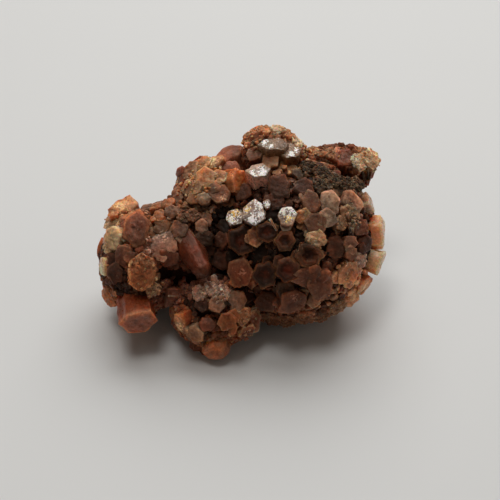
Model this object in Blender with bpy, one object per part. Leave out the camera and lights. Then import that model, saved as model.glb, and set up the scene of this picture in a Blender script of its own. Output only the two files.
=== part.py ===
"""Aragonite sputnik cluster: hexagonal prisms grown out of a few joined centres, as one solid.

Metres, +Z up. The cluster rests on z = 0 with the middle of its box over the origin, its long side along X,
and the side with the glinting dome towards -Y. The crystals that show from there are listed one by one, each
by the place of its end face in the reference view; the hidden sides are filled by a spiral over each centre.
"""

import math
import random

import bmesh
import bpy
from mathutils import Matrix, Vector

MM = 0.001

# the reference view: a camera that looks along +Y and down, in a square frame
VIEW_DOWN_DEG = 40.0
VIEW_DISTANCE = 300.0  # mm, from the camera to VIEW_TARGET
VIEW_TARGET = Vector((1.67, 0.0, 15.0))  # mm
FRAME_CENTRE = 250.0  # photo coordinate of VIEW_TARGET, both ways
PHOTO_PER_MM = 4.8  # photo units to a millimetre at VIEW_TARGET: the cluster is 60 mm wide

# where the box's middle lies in the view's frame, so that the solid ends up centred, in mm
CLUSTER_SHIFT = Vector((-0.15, -1.165, 0.0))

CORE_SHARE = 0.80  # a centre's massive core, as a share of the reach of its crystals
ROOT_SHARE = 0.45  # how deep a prism starts, as a share of its centre's reach, with one width added
BASE_SHARE = 0.86  # a prism's width at its root, as a share of its width at its end face
PRISM_SIDES = 6
CONE_START_DEG = 30.0  # turns a six-sided cone so that it has a corner at +X

# growth centres: photo x and y of the middle, depth y in mm, reach of the crystal ends along X, Y and Z in mm
CENTRES = {
    "dome": (295, 237, 1.5, (17.7, 17.7, 17.4)),
    "left": (142, 262, -2.0, (9.4, 11.5, 12.0)),
    "neck": (188, 248, 1.0, (12.5, 11.0, 12.5)),
    "shoulder": (220, 205, 7.6, (10.7, 11.0, 10.8)),
    "foot": (213, 308, -10.0, (9.4, 9.2, 8.6)),
    "crown": (273, 158, 11.0, (6.8, 6.5, 6.8)),
    "ridge": (340, 161, 14.0, (8.8, 4.0, 3.2)),
    "bridge": (238, 292, -5.5, (7.6, 7.2, 6.8)),
}

# each crystal that shows in the reference view: growth centre, photo x and y of its end face, width across
# corners in mm, lean of its axis to the right and up (1 is flat in the picture), turn about its axis in
# degrees, and how far it stands out of its centre's reach towards the camera in mm
CRYSTALS = {
    "glint_left": ("dome", 234, 217, 4.2, -0.12, 0.28, 10, 0.6),
    "glint_middle": ("dome", 254, 212, 5.3, -0.08, 0.28, 30, 1.0),
    "glint_small": ("dome", 267, 204, 1.9, -0.05, 0.30, 20, 0.6),
    "glint_right": ("dome", 287, 215, 4.3, -0.05, 0.28, 5, 0.6),
    "glint_upper": ("dome", 258, 170, 4.7, -0.05, 0.72, 0, 1.0),
    "mauve_a": ("dome", 280, 186, 5.0, -0.05, 0.40, 8, 0.3),
    "mauve_b": ("dome", 304, 186, 4.4, 0.10, 0.38, 25, 0.6),
    "mauve_behind": ("dome", 243, 192, 3.8, -0.20, 0.35, 40, -0.8),
    "mauve_between": ("dome", 277, 200, 3.8, 0.00, 0.35, 15, -0.6),
    "grey_between": ("dome", 271, 212, 3.2, 0.00, 0.30, 35, -1.2),
    "hex_a": ("dome", 242, 240, 5.8, -0.12, 0.02, 20, 0.4),
    "hex_b": ("dome", 268, 231, 4.2, -0.03, 0.08, 30, 0.0),
    "hex_c": ("dome", 285, 241, 4.0, 0.00, 0.04, 0, 0.0),
    "hex_d": ("dome", 310, 255, 5.4, 0.08, -0.10, 0, 0.8),
    "hex_e": ("dome", 240, 273, 5.2, -0.15, -0.12, 12, 1.0),
    "hex_f": ("dome", 264, 275, 5.2, -0.05, -0.10, 15, 0.8),
    "hex_g": ("dome", 287, 270, 5.0, 0.02, -0.10, 18, 0.6),
    "rough_a": ("dome", 255, 236, 3.6, 0.10, 0.10, 35, 0.2),
    "deep_a": ("dome", 262, 253, 3.8, 0.00, 0.00, 10, -1.8),
    "deep_b": ("dome", 283, 254, 3.4, 0.00, 0.00, 40, -1.6),
    "deep_c": ("dome", 303, 240, 3.0, 0.05, 0.00, 22, -1.4),
    "side_a": ("dome", 286, 290, 4.2, 0.00, -0.35, 0, 0.0),
    "oblique_a": ("dome", 305, 278, 5.0, 0.15, -0.35, 30, 0.6),
    "oblique_b": ("dome", 322, 284, 6.2, 0.30, -0.45, 10, 0.8),
    "oblique_c": ("dome", 294, 302, 6.0, 0.10, -0.50, 25, 1.0),
    "low_dark": ("dome", 267, 302, 4.6, -0.08, -0.30, 0, 0.2),
    "low_side": ("dome", 314, 302, 3.0, 0.25, -0.60, 10, 0.0),
    "mauve_c": ("dome", 311, 203, 4.4, 0.10, 0.25, 50, 0.6),
    "olive_a": ("dome", 331, 202, 4.7, 0.25, 0.22, 20, 0.9),
    "tan_a": ("dome", 328, 218, 4.0, 0.22, 0.05, 35, 0.8),
    "brown_a": ("dome", 315, 223, 4.4, 0.15, 0.08, 0, 0.4),
    "orange_a": ("dome", 303, 216, 3.0, 0.05, 0.15, 12, 0.2),
    "cream_star": ("dome", 317, 239, 3.8, 0.15, 0.00, 28, 0.4),
    "dark_right": ("dome", 336, 247, 4.4, 0.30, 0.00, 16, -1.0),
    "mauve_d": ("dome", 351, 243, 3.2, 0.50, 0.10, 0, 0.4),
    "round_a": ("dome", 352, 254, 2.8, 0.45, -0.10, 30, 0.6),
    "crust_right": ("dome", 361, 261, 3.4, 0.62, -0.10, 15, 0.2),
    "orange_b": ("dome", 351, 274, 5.2, 0.50, -0.32, 40, 0.8),
    "brown_b": ("dome", 353, 201, 5.0, 0.50, 0.30, 12, 0.4),
    "brown_c": ("dome", 350, 214, 4.4, 0.48, 0.12, 35, 0.0),
    "mauve_e": ("dome", 360, 226, 4.4, 0.58, 0.05, 5, 0.2),
    "grain_a": ("dome", 341, 223, 3.0, 0.40, 0.05, 45, -0.4),
    "rim_glassy": ("dome", 371, 202, 4.2, 0.90, 0.36, 10, 0.0),
    "rim_amber": ("dome", 384, 232, 6.2, 0.98, 0.06, 0, 0.0),
    "rim_mauve": ("dome", 366, 245, 4.0, 0.75, 0.00, 20, 0.0),
    "rim_banded": ("dome", 382, 264, 5.2, 0.93, -0.32, 20, 0.0),
    "rim_a": ("dome", 366, 286, 4.6, 0.78, -0.50, 0, 0.0),
    "rim_b": ("dome", 353, 299, 4.8, 0.64, -0.62, 30, 0.0),
    "rim_c": ("dome", 338, 308, 4.4, 0.48, -0.72, 12, 0.0),
    "rim_d": ("dome", 323, 316, 4.4, 0.32, -0.80, 40, 0.0),
    "rim_e": ("dome", 305, 319, 4.8, 0.12, -0.84, 25, 0.0),
    "rim_f": ("dome", 286, 321, 5.0, -0.04, -0.86, 0, 0.0),
    "rim_g": ("dome", 270, 320, 4.6, -0.15, -0.84, 20, 0.0),
    "patch_a": ("dome", 309, 166, 3.2, 0.10, 0.60, 10, 0.0),
    "patch_b": ("dome", 322, 171, 3.4, 0.22, 0.55, 30, 0.2),
    "patch_c": ("dome", 334, 179, 3.6, 0.32, 0.48, 50, 0.0),
    "patch_d": ("dome", 320, 185, 3.2, 0.22, 0.42, 20, 0.0),
    "patch_e": ("dome", 347, 184, 3.4, 0.45, 0.42, 5, 0.2),
    "patch_f": ("dome", 359, 183, 3.4, 0.60, 0.45, 40, -0.4),
    "dark_a": ("dome", 209, 214, 4.8, -0.20, 0.22, 25, 0.0),
    "dark_b": ("dome", 221, 239, 3.8, -0.30, 0.05, 45, 0.0),
    "dark_c": ("neck", 204, 238, 4.0, 0.10, 0.10, 10, 0.4),
    "dark_d": ("dome", 221, 260, 4.2, -0.28, -0.08, 30, 0.4),
    "dark_e": ("dome", 233, 258, 3.6, -0.20, -0.05, 0, -1.4),
    "dark_f": ("dome", 225, 226, 3.4, -0.25, 0.15, 15, -1.2),
    "pink_small": ("neck", 202, 226, 3.0, 0.05, 0.20, 25, 0.6),
    "smooth_top": ("shoulder", 227, 148, 6.8, -0.38, 0.84, 12, 2.0),
    "smooth_side": ("shoulder", 231, 168, 4.6, 0.00, 0.45, 0, 0.4),
    "orange_slope": ("shoulder", 241, 181, 5.4, 0.66, 0.12, 50, 2.4),
    "slope_a": ("shoulder", 179, 179, 4.4, -0.72, 0.42, 0, 0.0),
    "slope_b": ("shoulder", 190, 170, 4.6, -0.58, 0.58, 30, 0.2),
    "slope_c": ("shoulder", 201, 163, 4.6, -0.42, 0.68, 10, 0.2),
    "slope_d": ("shoulder", 213, 161, 4.4, -0.28, 0.70, 45, 0.4),
    "slope_e": ("shoulder", 204, 177, 4.8, -0.35, 0.50, 20, 0.8),
    "slope_f": ("shoulder", 190, 186, 4.4, -0.52, 0.32, 5, 0.2),
    "slope_g": ("shoulder", 217, 177, 4.2, -0.15, 0.50, 33, 0.6),
    "slope_mauve": ("shoulder", 219, 193, 4.2, -0.10, 0.25, 15, 0.6),
    "slope_small_a": ("shoulder", 193, 198, 2.8, -0.30, 0.20, 0, 0.8),
    "slope_small_b": ("shoulder", 203, 198, 3.0, -0.20, 0.20, 20, 0.8),
    "slope_low": ("shoulder", 176, 195, 4.0, -0.60, 0.25, 28, 0.0),
    "saddle_a": ("neck", 147, 207, 2.8, -0.30, 0.70, 0, 0.0),
    "saddle_b": ("neck", 157, 204, 3.0, -0.25, 0.75, 20, 0.2),
    "saddle_c": ("neck", 167, 201, 3.2, -0.20, 0.75, 40, 0.4),
    "saddle_d": ("neck", 159, 214, 3.2, -0.20, 0.60, 10, 0.4),
    "saddle_e": ("neck", 172, 210, 3.4, -0.10, 0.60, 30, 0.6),
    "neck_small_a": ("neck", 183, 216, 2.8, 0.00, 0.40, 15, 0.8),
    "neck_small_b": ("neck", 193, 215, 2.8, 0.10, 0.40, 45, 0.8),
    "neck_purple": ("neck", 179, 228, 3.6, -0.05, 0.28, 0, 0.8),
    "neck_tan": ("neck", 161, 226, 3.8, -0.20, 0.35, 25, 0.0),
    "neck_face": ("neck", 185, 237, 3.8, 0.00, 0.40, 10, 0.6),
    "neck_pale": ("neck", 160, 244, 6.0, -0.25, 0.20, 35, 1.2),
    "neck_long": ("neck", 207, 277, 5.6, 0.46, -0.76, 0, 6.0),
    "neck_lump": ("neck", 168, 258, 4.2, -0.05, -0.25, 20, 1.4),
    "left_top": ("left", 123, 205, 5.8, -0.25, 0.60, 10, 0.4),
    "left_pink": ("left", 111, 220, 4.4, -0.70, 0.35, 30, 0.0),
    "left_olive": ("left", 111, 239, 4.8, -0.66, 0.08, 0, 0.0),
    "left_round": ("left", 136, 227, 7.0, 0.00, 0.28, 20, 0.8),
    "left_dark_a": ("left", 121, 256, 4.6, -0.35, 0.00, 40, 0.0),
    "left_edge": ("left", 101, 266, 3.8, -0.90, 0.00, 10, 0.0),
    "left_dark_b": ("left", 114, 273, 4.0, -0.50, -0.15, 25, 0.0),
    "left_hex": ("left", 142, 274, 6.6, 0.03, -0.10, 30, 1.6),
    "left_crust": ("left", 153, 290, 3.0, 0.25, -0.30, 0, 1.0),
    "left_low": ("left", 107, 299, 5.0, -0.68, -0.35, 15, 0.4),
    "left_barrel": ("left", 138, 324, 7.2, 0.10, -0.84, 0, 10.0),
    "foot_cube": ("foot", 164, 295, 5.2, -0.92, 0.05, 30, 2.0),
    "foot_cream": ("foot", 179, 323, 4.2, -0.70, -0.40, 20, 1.6),
    "foot_pink_a": ("foot", 200, 292, 3.2, -0.10, 0.40, 0, 0.8),
    "foot_pink_b": ("foot", 211, 289, 3.2, 0.00, 0.45, 25, 0.8),
    "foot_pink_c": ("foot", 223, 292, 3.4, 0.15, 0.38, 10, 0.8),
    "foot_pink_d": ("foot", 217, 304, 3.4, 0.05, 0.10, 40, 0.8),
    "foot_mauve_a": ("foot", 202, 304, 3.2, -0.10, 0.10, 20, 0.0),
    "foot_tan": ("foot", 237, 301, 4.4, 0.25, 0.12, 5, 0.6),
    "foot_mauve_b": ("foot", 248, 297, 3.0, 0.40, 0.20, 30, 0.0),
    "foot_round": ("foot", 207, 325, 3.2, -0.05, -0.20, 0, 0.6),
    "foot_hex": ("foot", 227, 321, 4.2, 0.15, -0.20, 15, 1.2),
    "foot_rough_a": ("foot", 243, 315, 4.0, 0.35, 0.00, 35, 0.6),
    "foot_rough_b": ("foot", 254, 323, 4.4, 0.62, -0.25, 10, 0.8),
    "foot_rough_c": ("foot", 247, 332, 4.6, 0.52, -0.50, 50, 0.8),
    "foot_amber": ("foot", 216, 359, 6.4, 0.05, -0.98, 0, 2.4),
    "foot_neighbour": ("foot", 194, 335, 4.2, -0.35, -0.50, 28, 0.8),
    "top_face_a": ("crown", 274, 143, 5.8, -0.05, 0.78, 5, 0.6),
    "top_face_b": ("crown", 290, 150, 4.9, 0.08, 0.74, 20, 0.6),
    "crown_small": ("crown", 254, 153, 3.4, -0.25, 0.50, 0, 0.4),
    "crown_brown": ("crown", 270, 160, 3.8, -0.05, 0.40, 30, 0.4),
    "crown_amber": ("crown", 289, 167, 3.8, 0.12, 0.40, 10, 0.4),
    "crust_a": ("crown", 247, 137, 3.2, -0.66, 0.60, 0, 0.0),
    "crust_b": ("crown", 255, 130, 3.4, -0.45, 0.76, 20, 0.0),
    "crust_c": ("crown", 266, 128, 3.4, -0.10, 0.88, 40, 0.0),
    "crust_d": ("crown", 278, 128, 3.4, 0.20, 0.86, 10, 0.0),
    "crust_e": ("crown", 289, 133, 3.4, 0.50, 0.74, 30, 0.0),
    "crust_f": ("crown", 298, 141, 3.2, 0.70, 0.58, 0, 0.0),
    "ridge_a": ("ridge", 311, 151, 3.4, -0.30, 0.70, 20, 0.2),
    "ridge_b": ("ridge", 323, 151, 3.4, -0.15, 0.78, 0, 0.2),
    "ridge_c": ("ridge", 333, 153, 3.4, 0.00, 0.70, 35, 0.4),
    "ridge_d": ("ridge", 345, 157, 4.8, 0.10, 0.55, 10, 0.6),
    "ridge_e": ("ridge", 360, 161, 3.8, 0.30, 0.50, 25, 0.6),
    "ridge_tip": ("ridge", 372, 157, 4.8, 0.70, 0.40, 40, 0.4),
    "ridge_flap": ("ridge", 368, 175, 3.6, 0.50, -0.45, 0, 0.6),
}

# crystals that point down and carry the cluster: x and y of the end, width, both in mm
STANDS = {
    "stand_dome": (14.0, 8.0, 7.0),
    "stand_left": (-20.0, 1.0, 6.0),
    "stand_foot": (-7.0, -13.5, 6.0),
}
STAND_LENGTH = 11.0
STAND_SPARE = 0.4  # mm of each stand below z = 0, which the floor block cuts off

# hidden prisms of each centre: width in mm
FILL_WIDTH = {
    "dome": 5.8,
    "left": 5.4,
    "neck": 5.4,
    "shoulder": 5.6,
    "foot": 5.0,
    "crown": 4.2,
    "ridge": 3.8,
    "bridge": 4.8,
}
FILL_SIZES = (0.80, 1.15)  # least and greatest width, as shares of the width above
FILL_REACH = (0.90, 1.00)  # where hidden prisms end, as shares of their centre's reach
FILL_LOW = {"ridge": 0.84}  # centres whose hidden prisms end lower, as a share of the reach above
FILL_WOBBLE = 0.12  # how far a hidden prism leans off its centre's radius
FILL_CELL = 0.75  # area a hidden prism takes up, as a share of its width squared
FILL_APART = 0.42  # least distance between two ends, as a share of their two widths added
FILL_FACING = 0.5  # no hidden prism where its centre's surface faces the camera more than this
OTHER_REACH = 0.96  # no hidden prism ends inside this share of another centre's reach
SEED = 7

FLOOR_DEPTH = 12.0  # mm of block below z = 0 that trims the ends the cluster rests on
FLOOR_WIDTH = 120.0  # mm
WELD = 2e-6  # points nearer than this are one, in metres
FLAT_DEG = 0.5  # faces that meet flatter than this are one

VIEW_DOWN = math.radians(VIEW_DOWN_DEG)
VIEW_RIGHT = Vector((1.0, 0.0, 0.0))
VIEW_UP = Vector((0.0, math.sin(VIEW_DOWN), math.cos(VIEW_DOWN)))
VIEW_AHEAD = Vector((0.0, math.cos(VIEW_DOWN), -math.sin(VIEW_DOWN)))
CAMERA = VIEW_TARGET - VIEW_AHEAD * VIEW_DISTANCE


def clear_scene():
    for old in list(bpy.data.objects):
        bpy.data.objects.remove(old, do_unlink=True)


def new_collection(name):
    made = bpy.data.collections.new(name)
    bpy.context.scene.collection.children.link(made)
    return made


def sight_line(photo_x, photo_y):
    """The direction from the camera through a place in the photo."""
    right = VIEW_RIGHT * ((photo_x - FRAME_CENTRE) / PHOTO_PER_MM)
    up = VIEW_UP * ((FRAME_CENTRE - photo_y) / PHOTO_PER_MM)
    return (VIEW_AHEAD * VIEW_DISTANCE + right + up).normalized()


def middle_of(centre):
    """A growth centre's middle: where its line of sight reaches its depth."""
    photo_x, photo_y, depth, _ = CENTRES[centre]
    line = sight_line(photo_x, photo_y)
    return CAMERA + line * ((depth - CAMERA.y) / line.y)


def surface_point(centre, photo_x, photo_y):
    """Where a line of sight first meets a centre's ellipsoid, or passes nearest to it."""
    reach = CENTRES[centre][3]
    shrink = Matrix.Diagonal((1 / reach[0], 1 / reach[1], 1 / reach[2]))
    start = shrink @ (CAMERA - middle_of(centre))
    line = sight_line(photo_x, photo_y)
    step = shrink @ line
    nearest = -start.dot(step) / step.dot(step)
    miss = (start + step * nearest).length_squared
    back = math.sqrt(max(0.0, 1.0 - miss) / step.dot(step))
    return CAMERA + line * (nearest - back)


def lean_axis(right, up):
    towards = math.sqrt(max(0.0, 1.0 - right * right - up * up))
    return VIEW_RIGHT * right + VIEW_UP * up - VIEW_AHEAD * towards


def add_object(name, mesh_shape, collection):
    mesh = bpy.data.meshes.new(name)
    mesh_shape.to_mesh(mesh)
    mesh_shape.free()
    made = bpy.data.objects.new(name, mesh)
    collection.objects.link(made)
    return made


def hide_helper(helper):
    helper.hide_render = True
    helper.display_type = "WIRE"


def add_core(centre, collection):
    """The massive middle that a centre's prisms stand in."""
    shape = bmesh.new()
    fineness = 3 if centre == "dome" else 2
    bmesh.ops.create_icosphere(shape, subdivisions=fineness, radius=1.0)
    reach = Vector(CENTRES[centre][3]) * CORE_SHARE * MM
    place = Matrix.Translation((middle_of(centre) - CLUSTER_SHIFT) * MM)
    bmesh.ops.transform(shape, matrix=place @ Matrix.Diagonal((*reach, 1.0)), verts=shape.verts)
    core = add_object("core_" + centre, shape, collection)
    hide_helper(core)
    return core


def add_prism(name, end, axis, width, length, roll, collection):
    """A six-sided prism, a little wider at its end face, which stands at end and looks along axis.

    At a roll of zero one of its corners points to the camera's right.
    """
    shape = bmesh.new()
    bmesh.ops.create_cone(
        shape,
        cap_ends=True,
        segments=PRISM_SIDES,
        radius1=width / 2 * BASE_SHARE * MM,
        radius2=width / 2 * MM,
        depth=length * MM,
        matrix=Matrix.Rotation(math.radians(CONE_START_DEG), 4, "Z"),
    )
    side = (VIEW_RIGHT - axis * axis.dot(VIEW_RIGHT)).normalized()
    turn = Matrix((side, axis.cross(side), axis)).transposed().to_4x4() @ Matrix.Rotation(roll, 4, "Z")
    middle = end - axis * (length / 2) - CLUSTER_SHIFT
    bmesh.ops.transform(shape, matrix=Matrix.Translation(middle * MM) @ turn, verts=shape.verts)
    prism = add_object("prism_" + name, shape, collection)
    hide_helper(prism)
    return prism


def prism_length(centre, width):
    return ROOT_SHARE * max(CENTRES[centre][3]) + width


def add_listed_prisms(collection):
    """The prisms that show in the reference view; returns their ends and widths."""
    ends = []
    for name, (centre, photo_x, photo_y, width, right, up, turn, stand_out) in CRYSTALS.items():
        end = surface_point(centre, photo_x, photo_y) - sight_line(photo_x, photo_y) * stand_out
        length = prism_length(centre, width)
        add_prism(name, end, lean_axis(right, up), width, length, math.radians(turn), collection)
        ends.append((end, width))
    for name, (x, y, width) in STANDS.items():
        end = Vector((x, y, -STAND_SPARE))
        add_prism(name, end, Vector((0, 0, -1)), width, STAND_LENGTH, 0.0, collection)
        ends.append((end, width))
    return ends


def inside_other(point, centre):
    """Whether a point lies in the reach of another growth centre."""
    for other, (_, _, _, reach) in CENTRES.items():
        offset = point - middle_of(other)
        share = math.sqrt(sum((offset[i] / reach[i]) ** 2 for i in range(3)))
        if other != centre and share < OTHER_REACH:
            return True
    return False


def spiral_directions(count):
    """Evenly spread directions: equal steps in height, a golden angle apart."""
    golden = math.pi * (3 - math.sqrt(5))
    for i in range(count):
        height = 1 - 2 * (i + 0.5) / count
        ring = math.sqrt(1 - height * height)
        yield Vector((ring * math.cos(golden * i), ring * math.sin(golden * i), height))


def add_hidden_prisms(collection, ends):
    """Prisms over each centre, where no other prism stands."""
    chance = random.Random(SEED)
    for centre, width in FILL_WIDTH.items():
        reach = Matrix.Diagonal(CENTRES[centre][3])
        area = 4 * math.pi * (sum(CENTRES[centre][3]) / 3) ** 2
        for out in spiral_directions(int(area / (FILL_CELL * width * width))):
            size = width * chance.uniform(*FILL_SIZES)
            share = chance.uniform(*FILL_REACH) * FILL_LOW.get(centre, 1.0)
            end = middle_of(centre) + reach @ out * share
            wobble = Vector([chance.uniform(-1, 1) for _ in range(3)]) * FILL_WOBBLE
            roll = chance.uniform(0, math.pi / 3)
            crowded = any((end - other).length < FILL_APART * (size + taken) for other, taken in ends)
            faces_camera = out.dot(VIEW_AHEAD) < -FILL_FACING
            if crowded or faces_camera or inside_other(end, centre):
                continue
            name = f"{centre}_{len(ends):03d}"
            axis = (out + wobble).normalized()
            add_prism(name, end, axis, size, prism_length(centre, size), roll, collection)
            ends.append((end, size))


def add_floor_block(collection):
    """The block that cuts the lowest ends flat."""
    shape = bmesh.new()
    bmesh.ops.create_cube(shape, size=1.0)
    place = Matrix.Translation((0, 0, -FLOOR_DEPTH / 2 * MM))
    sides = Matrix.Diagonal((FLOOR_WIDTH * MM, FLOOR_WIDTH * MM, FLOOR_DEPTH * MM, 1.0))
    bmesh.ops.transform(shape, matrix=place @ sides, verts=shape.verts)
    block = add_object("floor_block", shape, collection)
    hide_helper(block)
    return block


def shell_volume(faces):
    """Signed volume that a set of triangles encloses."""
    return sum(f.verts[0].co.dot(f.verts[1].co.cross(f.verts[2].co)) for f in faces) / 6


def connected_shells(shape):
    left = set(shape.faces)
    shells = []
    while left:
        shell = set()
        front = [left.pop()]
        while front:
            face = front.pop()
            shell.add(face)
            beside = {other for edge in face.edges for other in edge.link_faces} & left
            left -= beside
            front.extend(beside)
        shells.append(shell)
    return shells


def fill_sealed_pockets(shape):
    """Keeps only the outer shell, so that pockets which prisms close off between them are massive."""
    bmesh.ops.triangulate(shape, faces=shape.faces)
    shells = connected_shells(shape)
    outer = max(shells, key=shell_volume)
    spare = [face for shell in shells if shell is not outer for face in shell]
    bmesh.ops.delete(shape, geom=spare, context="FACES")
    loose = [vertex for vertex in shape.verts if not vertex.link_faces]
    bmesh.ops.delete(shape, geom=loose, context="VERTS")


def stone_material():
    """Mauve-brown, waxy to glassy aragonite."""
    stone = bpy.data.materials.new("aragonite")
    stone.use_nodes = True
    shader = stone.node_tree.nodes["Principled BSDF"]
    shader.inputs["Base Color"].default_value = (0.19, 0.075, 0.04, 1.0)
    shader.inputs["Roughness"].default_value = 0.35
    shader.inputs["Metallic"].default_value = 0.0
    return stone


def add_boolean(growth, label, operation, operand):
    """A Boolean with one object, or with all the objects of a collection."""
    joint = growth.modifiers.new(label, "BOOLEAN")
    joint.operation = operation
    joint.solver = "EXACT"
    if isinstance(operand, bpy.types.Collection):
        joint.operand_type = "COLLECTION"
        joint.collection = operand
    else:
        joint.object = operand


def join_cluster(first_core, cores, prisms, block, home):
    """One solid of cores and prisms, cut flat at z = 0."""
    growth = bpy.data.objects.new("growth", first_core.data.copy())
    home.objects.link(growth)
    add_boolean(growth, "other cores", "UNION", cores)
    add_boolean(growth, "prisms", "UNION", prisms)
    add_boolean(growth, "floor", "DIFFERENCE", block)
    graph = bpy.context.evaluated_depsgraph_get()
    joined = bpy.data.meshes.new_from_object(growth.evaluated_get(graph))
    bpy.data.objects.remove(growth, do_unlink=True)
    shape = bmesh.new()
    shape.from_mesh(joined)
    bmesh.ops.remove_doubles(shape, verts=shape.verts, dist=WELD)
    flat = math.radians(FLAT_DEG)
    bmesh.ops.dissolve_limit(shape, angle_limit=flat, verts=shape.verts, edges=shape.edges)
    fill_sealed_pockets(shape)
    cluster = add_object("aragonite_cluster", shape, home)
    cluster.data.materials.append(stone_material())
    return cluster


def main():
    clear_scene()
    home = new_collection("aragonite_sputnik_cluster")
    cores = new_collection("cores")
    prisms = new_collection("prisms")
    trim = new_collection("trim")
    first_core = add_core("dome", trim)
    for centre in CENTRES:
        if centre != "dome":
            add_core(centre, cores)
    ends = add_listed_prisms(prisms)
    add_hidden_prisms(prisms, ends)
    cluster = join_cluster(first_core, cores, prisms, add_floor_block(trim), home)
    corners = [vertex.co / MM for vertex in cluster.data.vertices]
    for i, side in enumerate("XYZ"):
        along = [corner[i] for corner in corners]
        print(f"{side}: {min(along):.2f} to {max(along):.2f} mm")


main()
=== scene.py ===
# Looks of an aragonite sputnik cluster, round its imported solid. Lengths are in mm until a mesh is made.
import math
import random

import bpy
import numpy as np
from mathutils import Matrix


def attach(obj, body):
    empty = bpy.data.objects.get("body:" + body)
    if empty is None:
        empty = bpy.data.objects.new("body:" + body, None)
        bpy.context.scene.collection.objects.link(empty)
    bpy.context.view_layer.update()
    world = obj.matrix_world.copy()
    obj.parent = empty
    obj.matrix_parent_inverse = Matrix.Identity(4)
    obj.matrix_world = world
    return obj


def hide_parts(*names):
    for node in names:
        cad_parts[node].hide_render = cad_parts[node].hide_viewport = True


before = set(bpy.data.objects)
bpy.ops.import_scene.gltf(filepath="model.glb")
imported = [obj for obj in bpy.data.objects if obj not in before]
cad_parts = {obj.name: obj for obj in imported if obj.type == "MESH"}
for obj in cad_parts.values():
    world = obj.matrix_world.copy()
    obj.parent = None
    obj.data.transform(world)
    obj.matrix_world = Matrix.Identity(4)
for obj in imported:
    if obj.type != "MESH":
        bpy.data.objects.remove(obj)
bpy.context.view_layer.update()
print("frame loaded")

mm = 0.001

# the photographed view: a camera that looks along +Y and down, in a square frame
view = {
    "downDeg": 40.0,
    "distance": 300.0,  # from the camera to the target
    "target": (1.67, 0.0, 15.0),
    "frameCentre": 250.0,  # photo coordinate of the target, both ways
    "perMm": 4.8,  # photo units to a millimetre at the target
    "shift": (-0.15, -1.165, 0.0),  # where the cluster's middle lies in this view's frame
    "sensor": 36.0,
    "frameSide": 500.0,  # photo units along one side of the picture
}
down = math.radians(view["downDeg"])
viewRight = np.array([1.0, 0.0, 0.0])
viewUp = np.array([0.0, math.sin(down), math.cos(down)])
viewAhead = np.array([0.0, math.cos(down), -math.sin(down)])
cameraPlace = np.array(view["target"]) - viewAhead * view["distance"]

# growth centres: photo x and y of the middle, depth y, reach of the crystal ends along X, Y and Z
centres = {
    "dome": (295, 237, 1.5, (17.7, 17.7, 17.4)),
    "left": (142, 262, -2.0, (9.4, 11.5, 12.0)),
    "neck": (188, 248, 1.0, (12.5, 11.0, 12.5)),
    "shoulder": (220, 205, 7.6, (10.7, 11.0, 10.8)),
    "foot": (213, 308, -10.0, (9.4, 9.2, 8.6)),
    "crown": (273, 158, 11.0, (6.8, 6.5, 6.8)),
    "ridge": (340, 161, 14.0, (8.8, 4.0, 3.2)),
    "bridge": (238, 292, -5.5, (7.6, 7.2, 6.8)),
}

# the shape of a crystal where its finish doesn't say otherwise; lengths are shares of its radius
plainShape = {
    "look": "waxy",
    "hollow": 0.0,  # depth of the sunken middle of the end face
    "soft": 0.28,  # how far the outline goes from a hexagon to a circle
    "rough": 0.03,  # height of lumps on the end face
    "terrace": 0.0,  # step down near the rim
    "dome": 0.0,  # how far the end face bulges
    "tilt": 0.10,  # how far the six corners of the end face differ in height
    "bands": 0.012,  # growth bands across the sides
    "bulge": 0.0,  # how much wider the middle of the sides is
    "taper": 0.0,  # how much narrower the crystal is at its end
    "edge": 0.09,  # how far the rim of the end face is rounded down
    "uneven": 1.0,  # how far the outline strays from a regular hexagon
    "step": 0.07,  # how far the highest crystals grown onto it rise above its end face, in widths
    "shade": 1.0,  # how much its colour changes from one side to the other
    "twins": 2,  # lower crystals grown onto the sides
    "grains": 0,  # grains grown on it, if it's as wide as crust says
    "grainSize": 0.38,  # in mm
}
# values that several finishes share
hexShape = {"terrace": 0.05, "soft": 0.08, "uneven": 0.6, "step": -0.1}
crustShape = {"look": "crust", "rough": 0.12}
glintShape = {"look": "glint", "step": -0.1}
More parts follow.
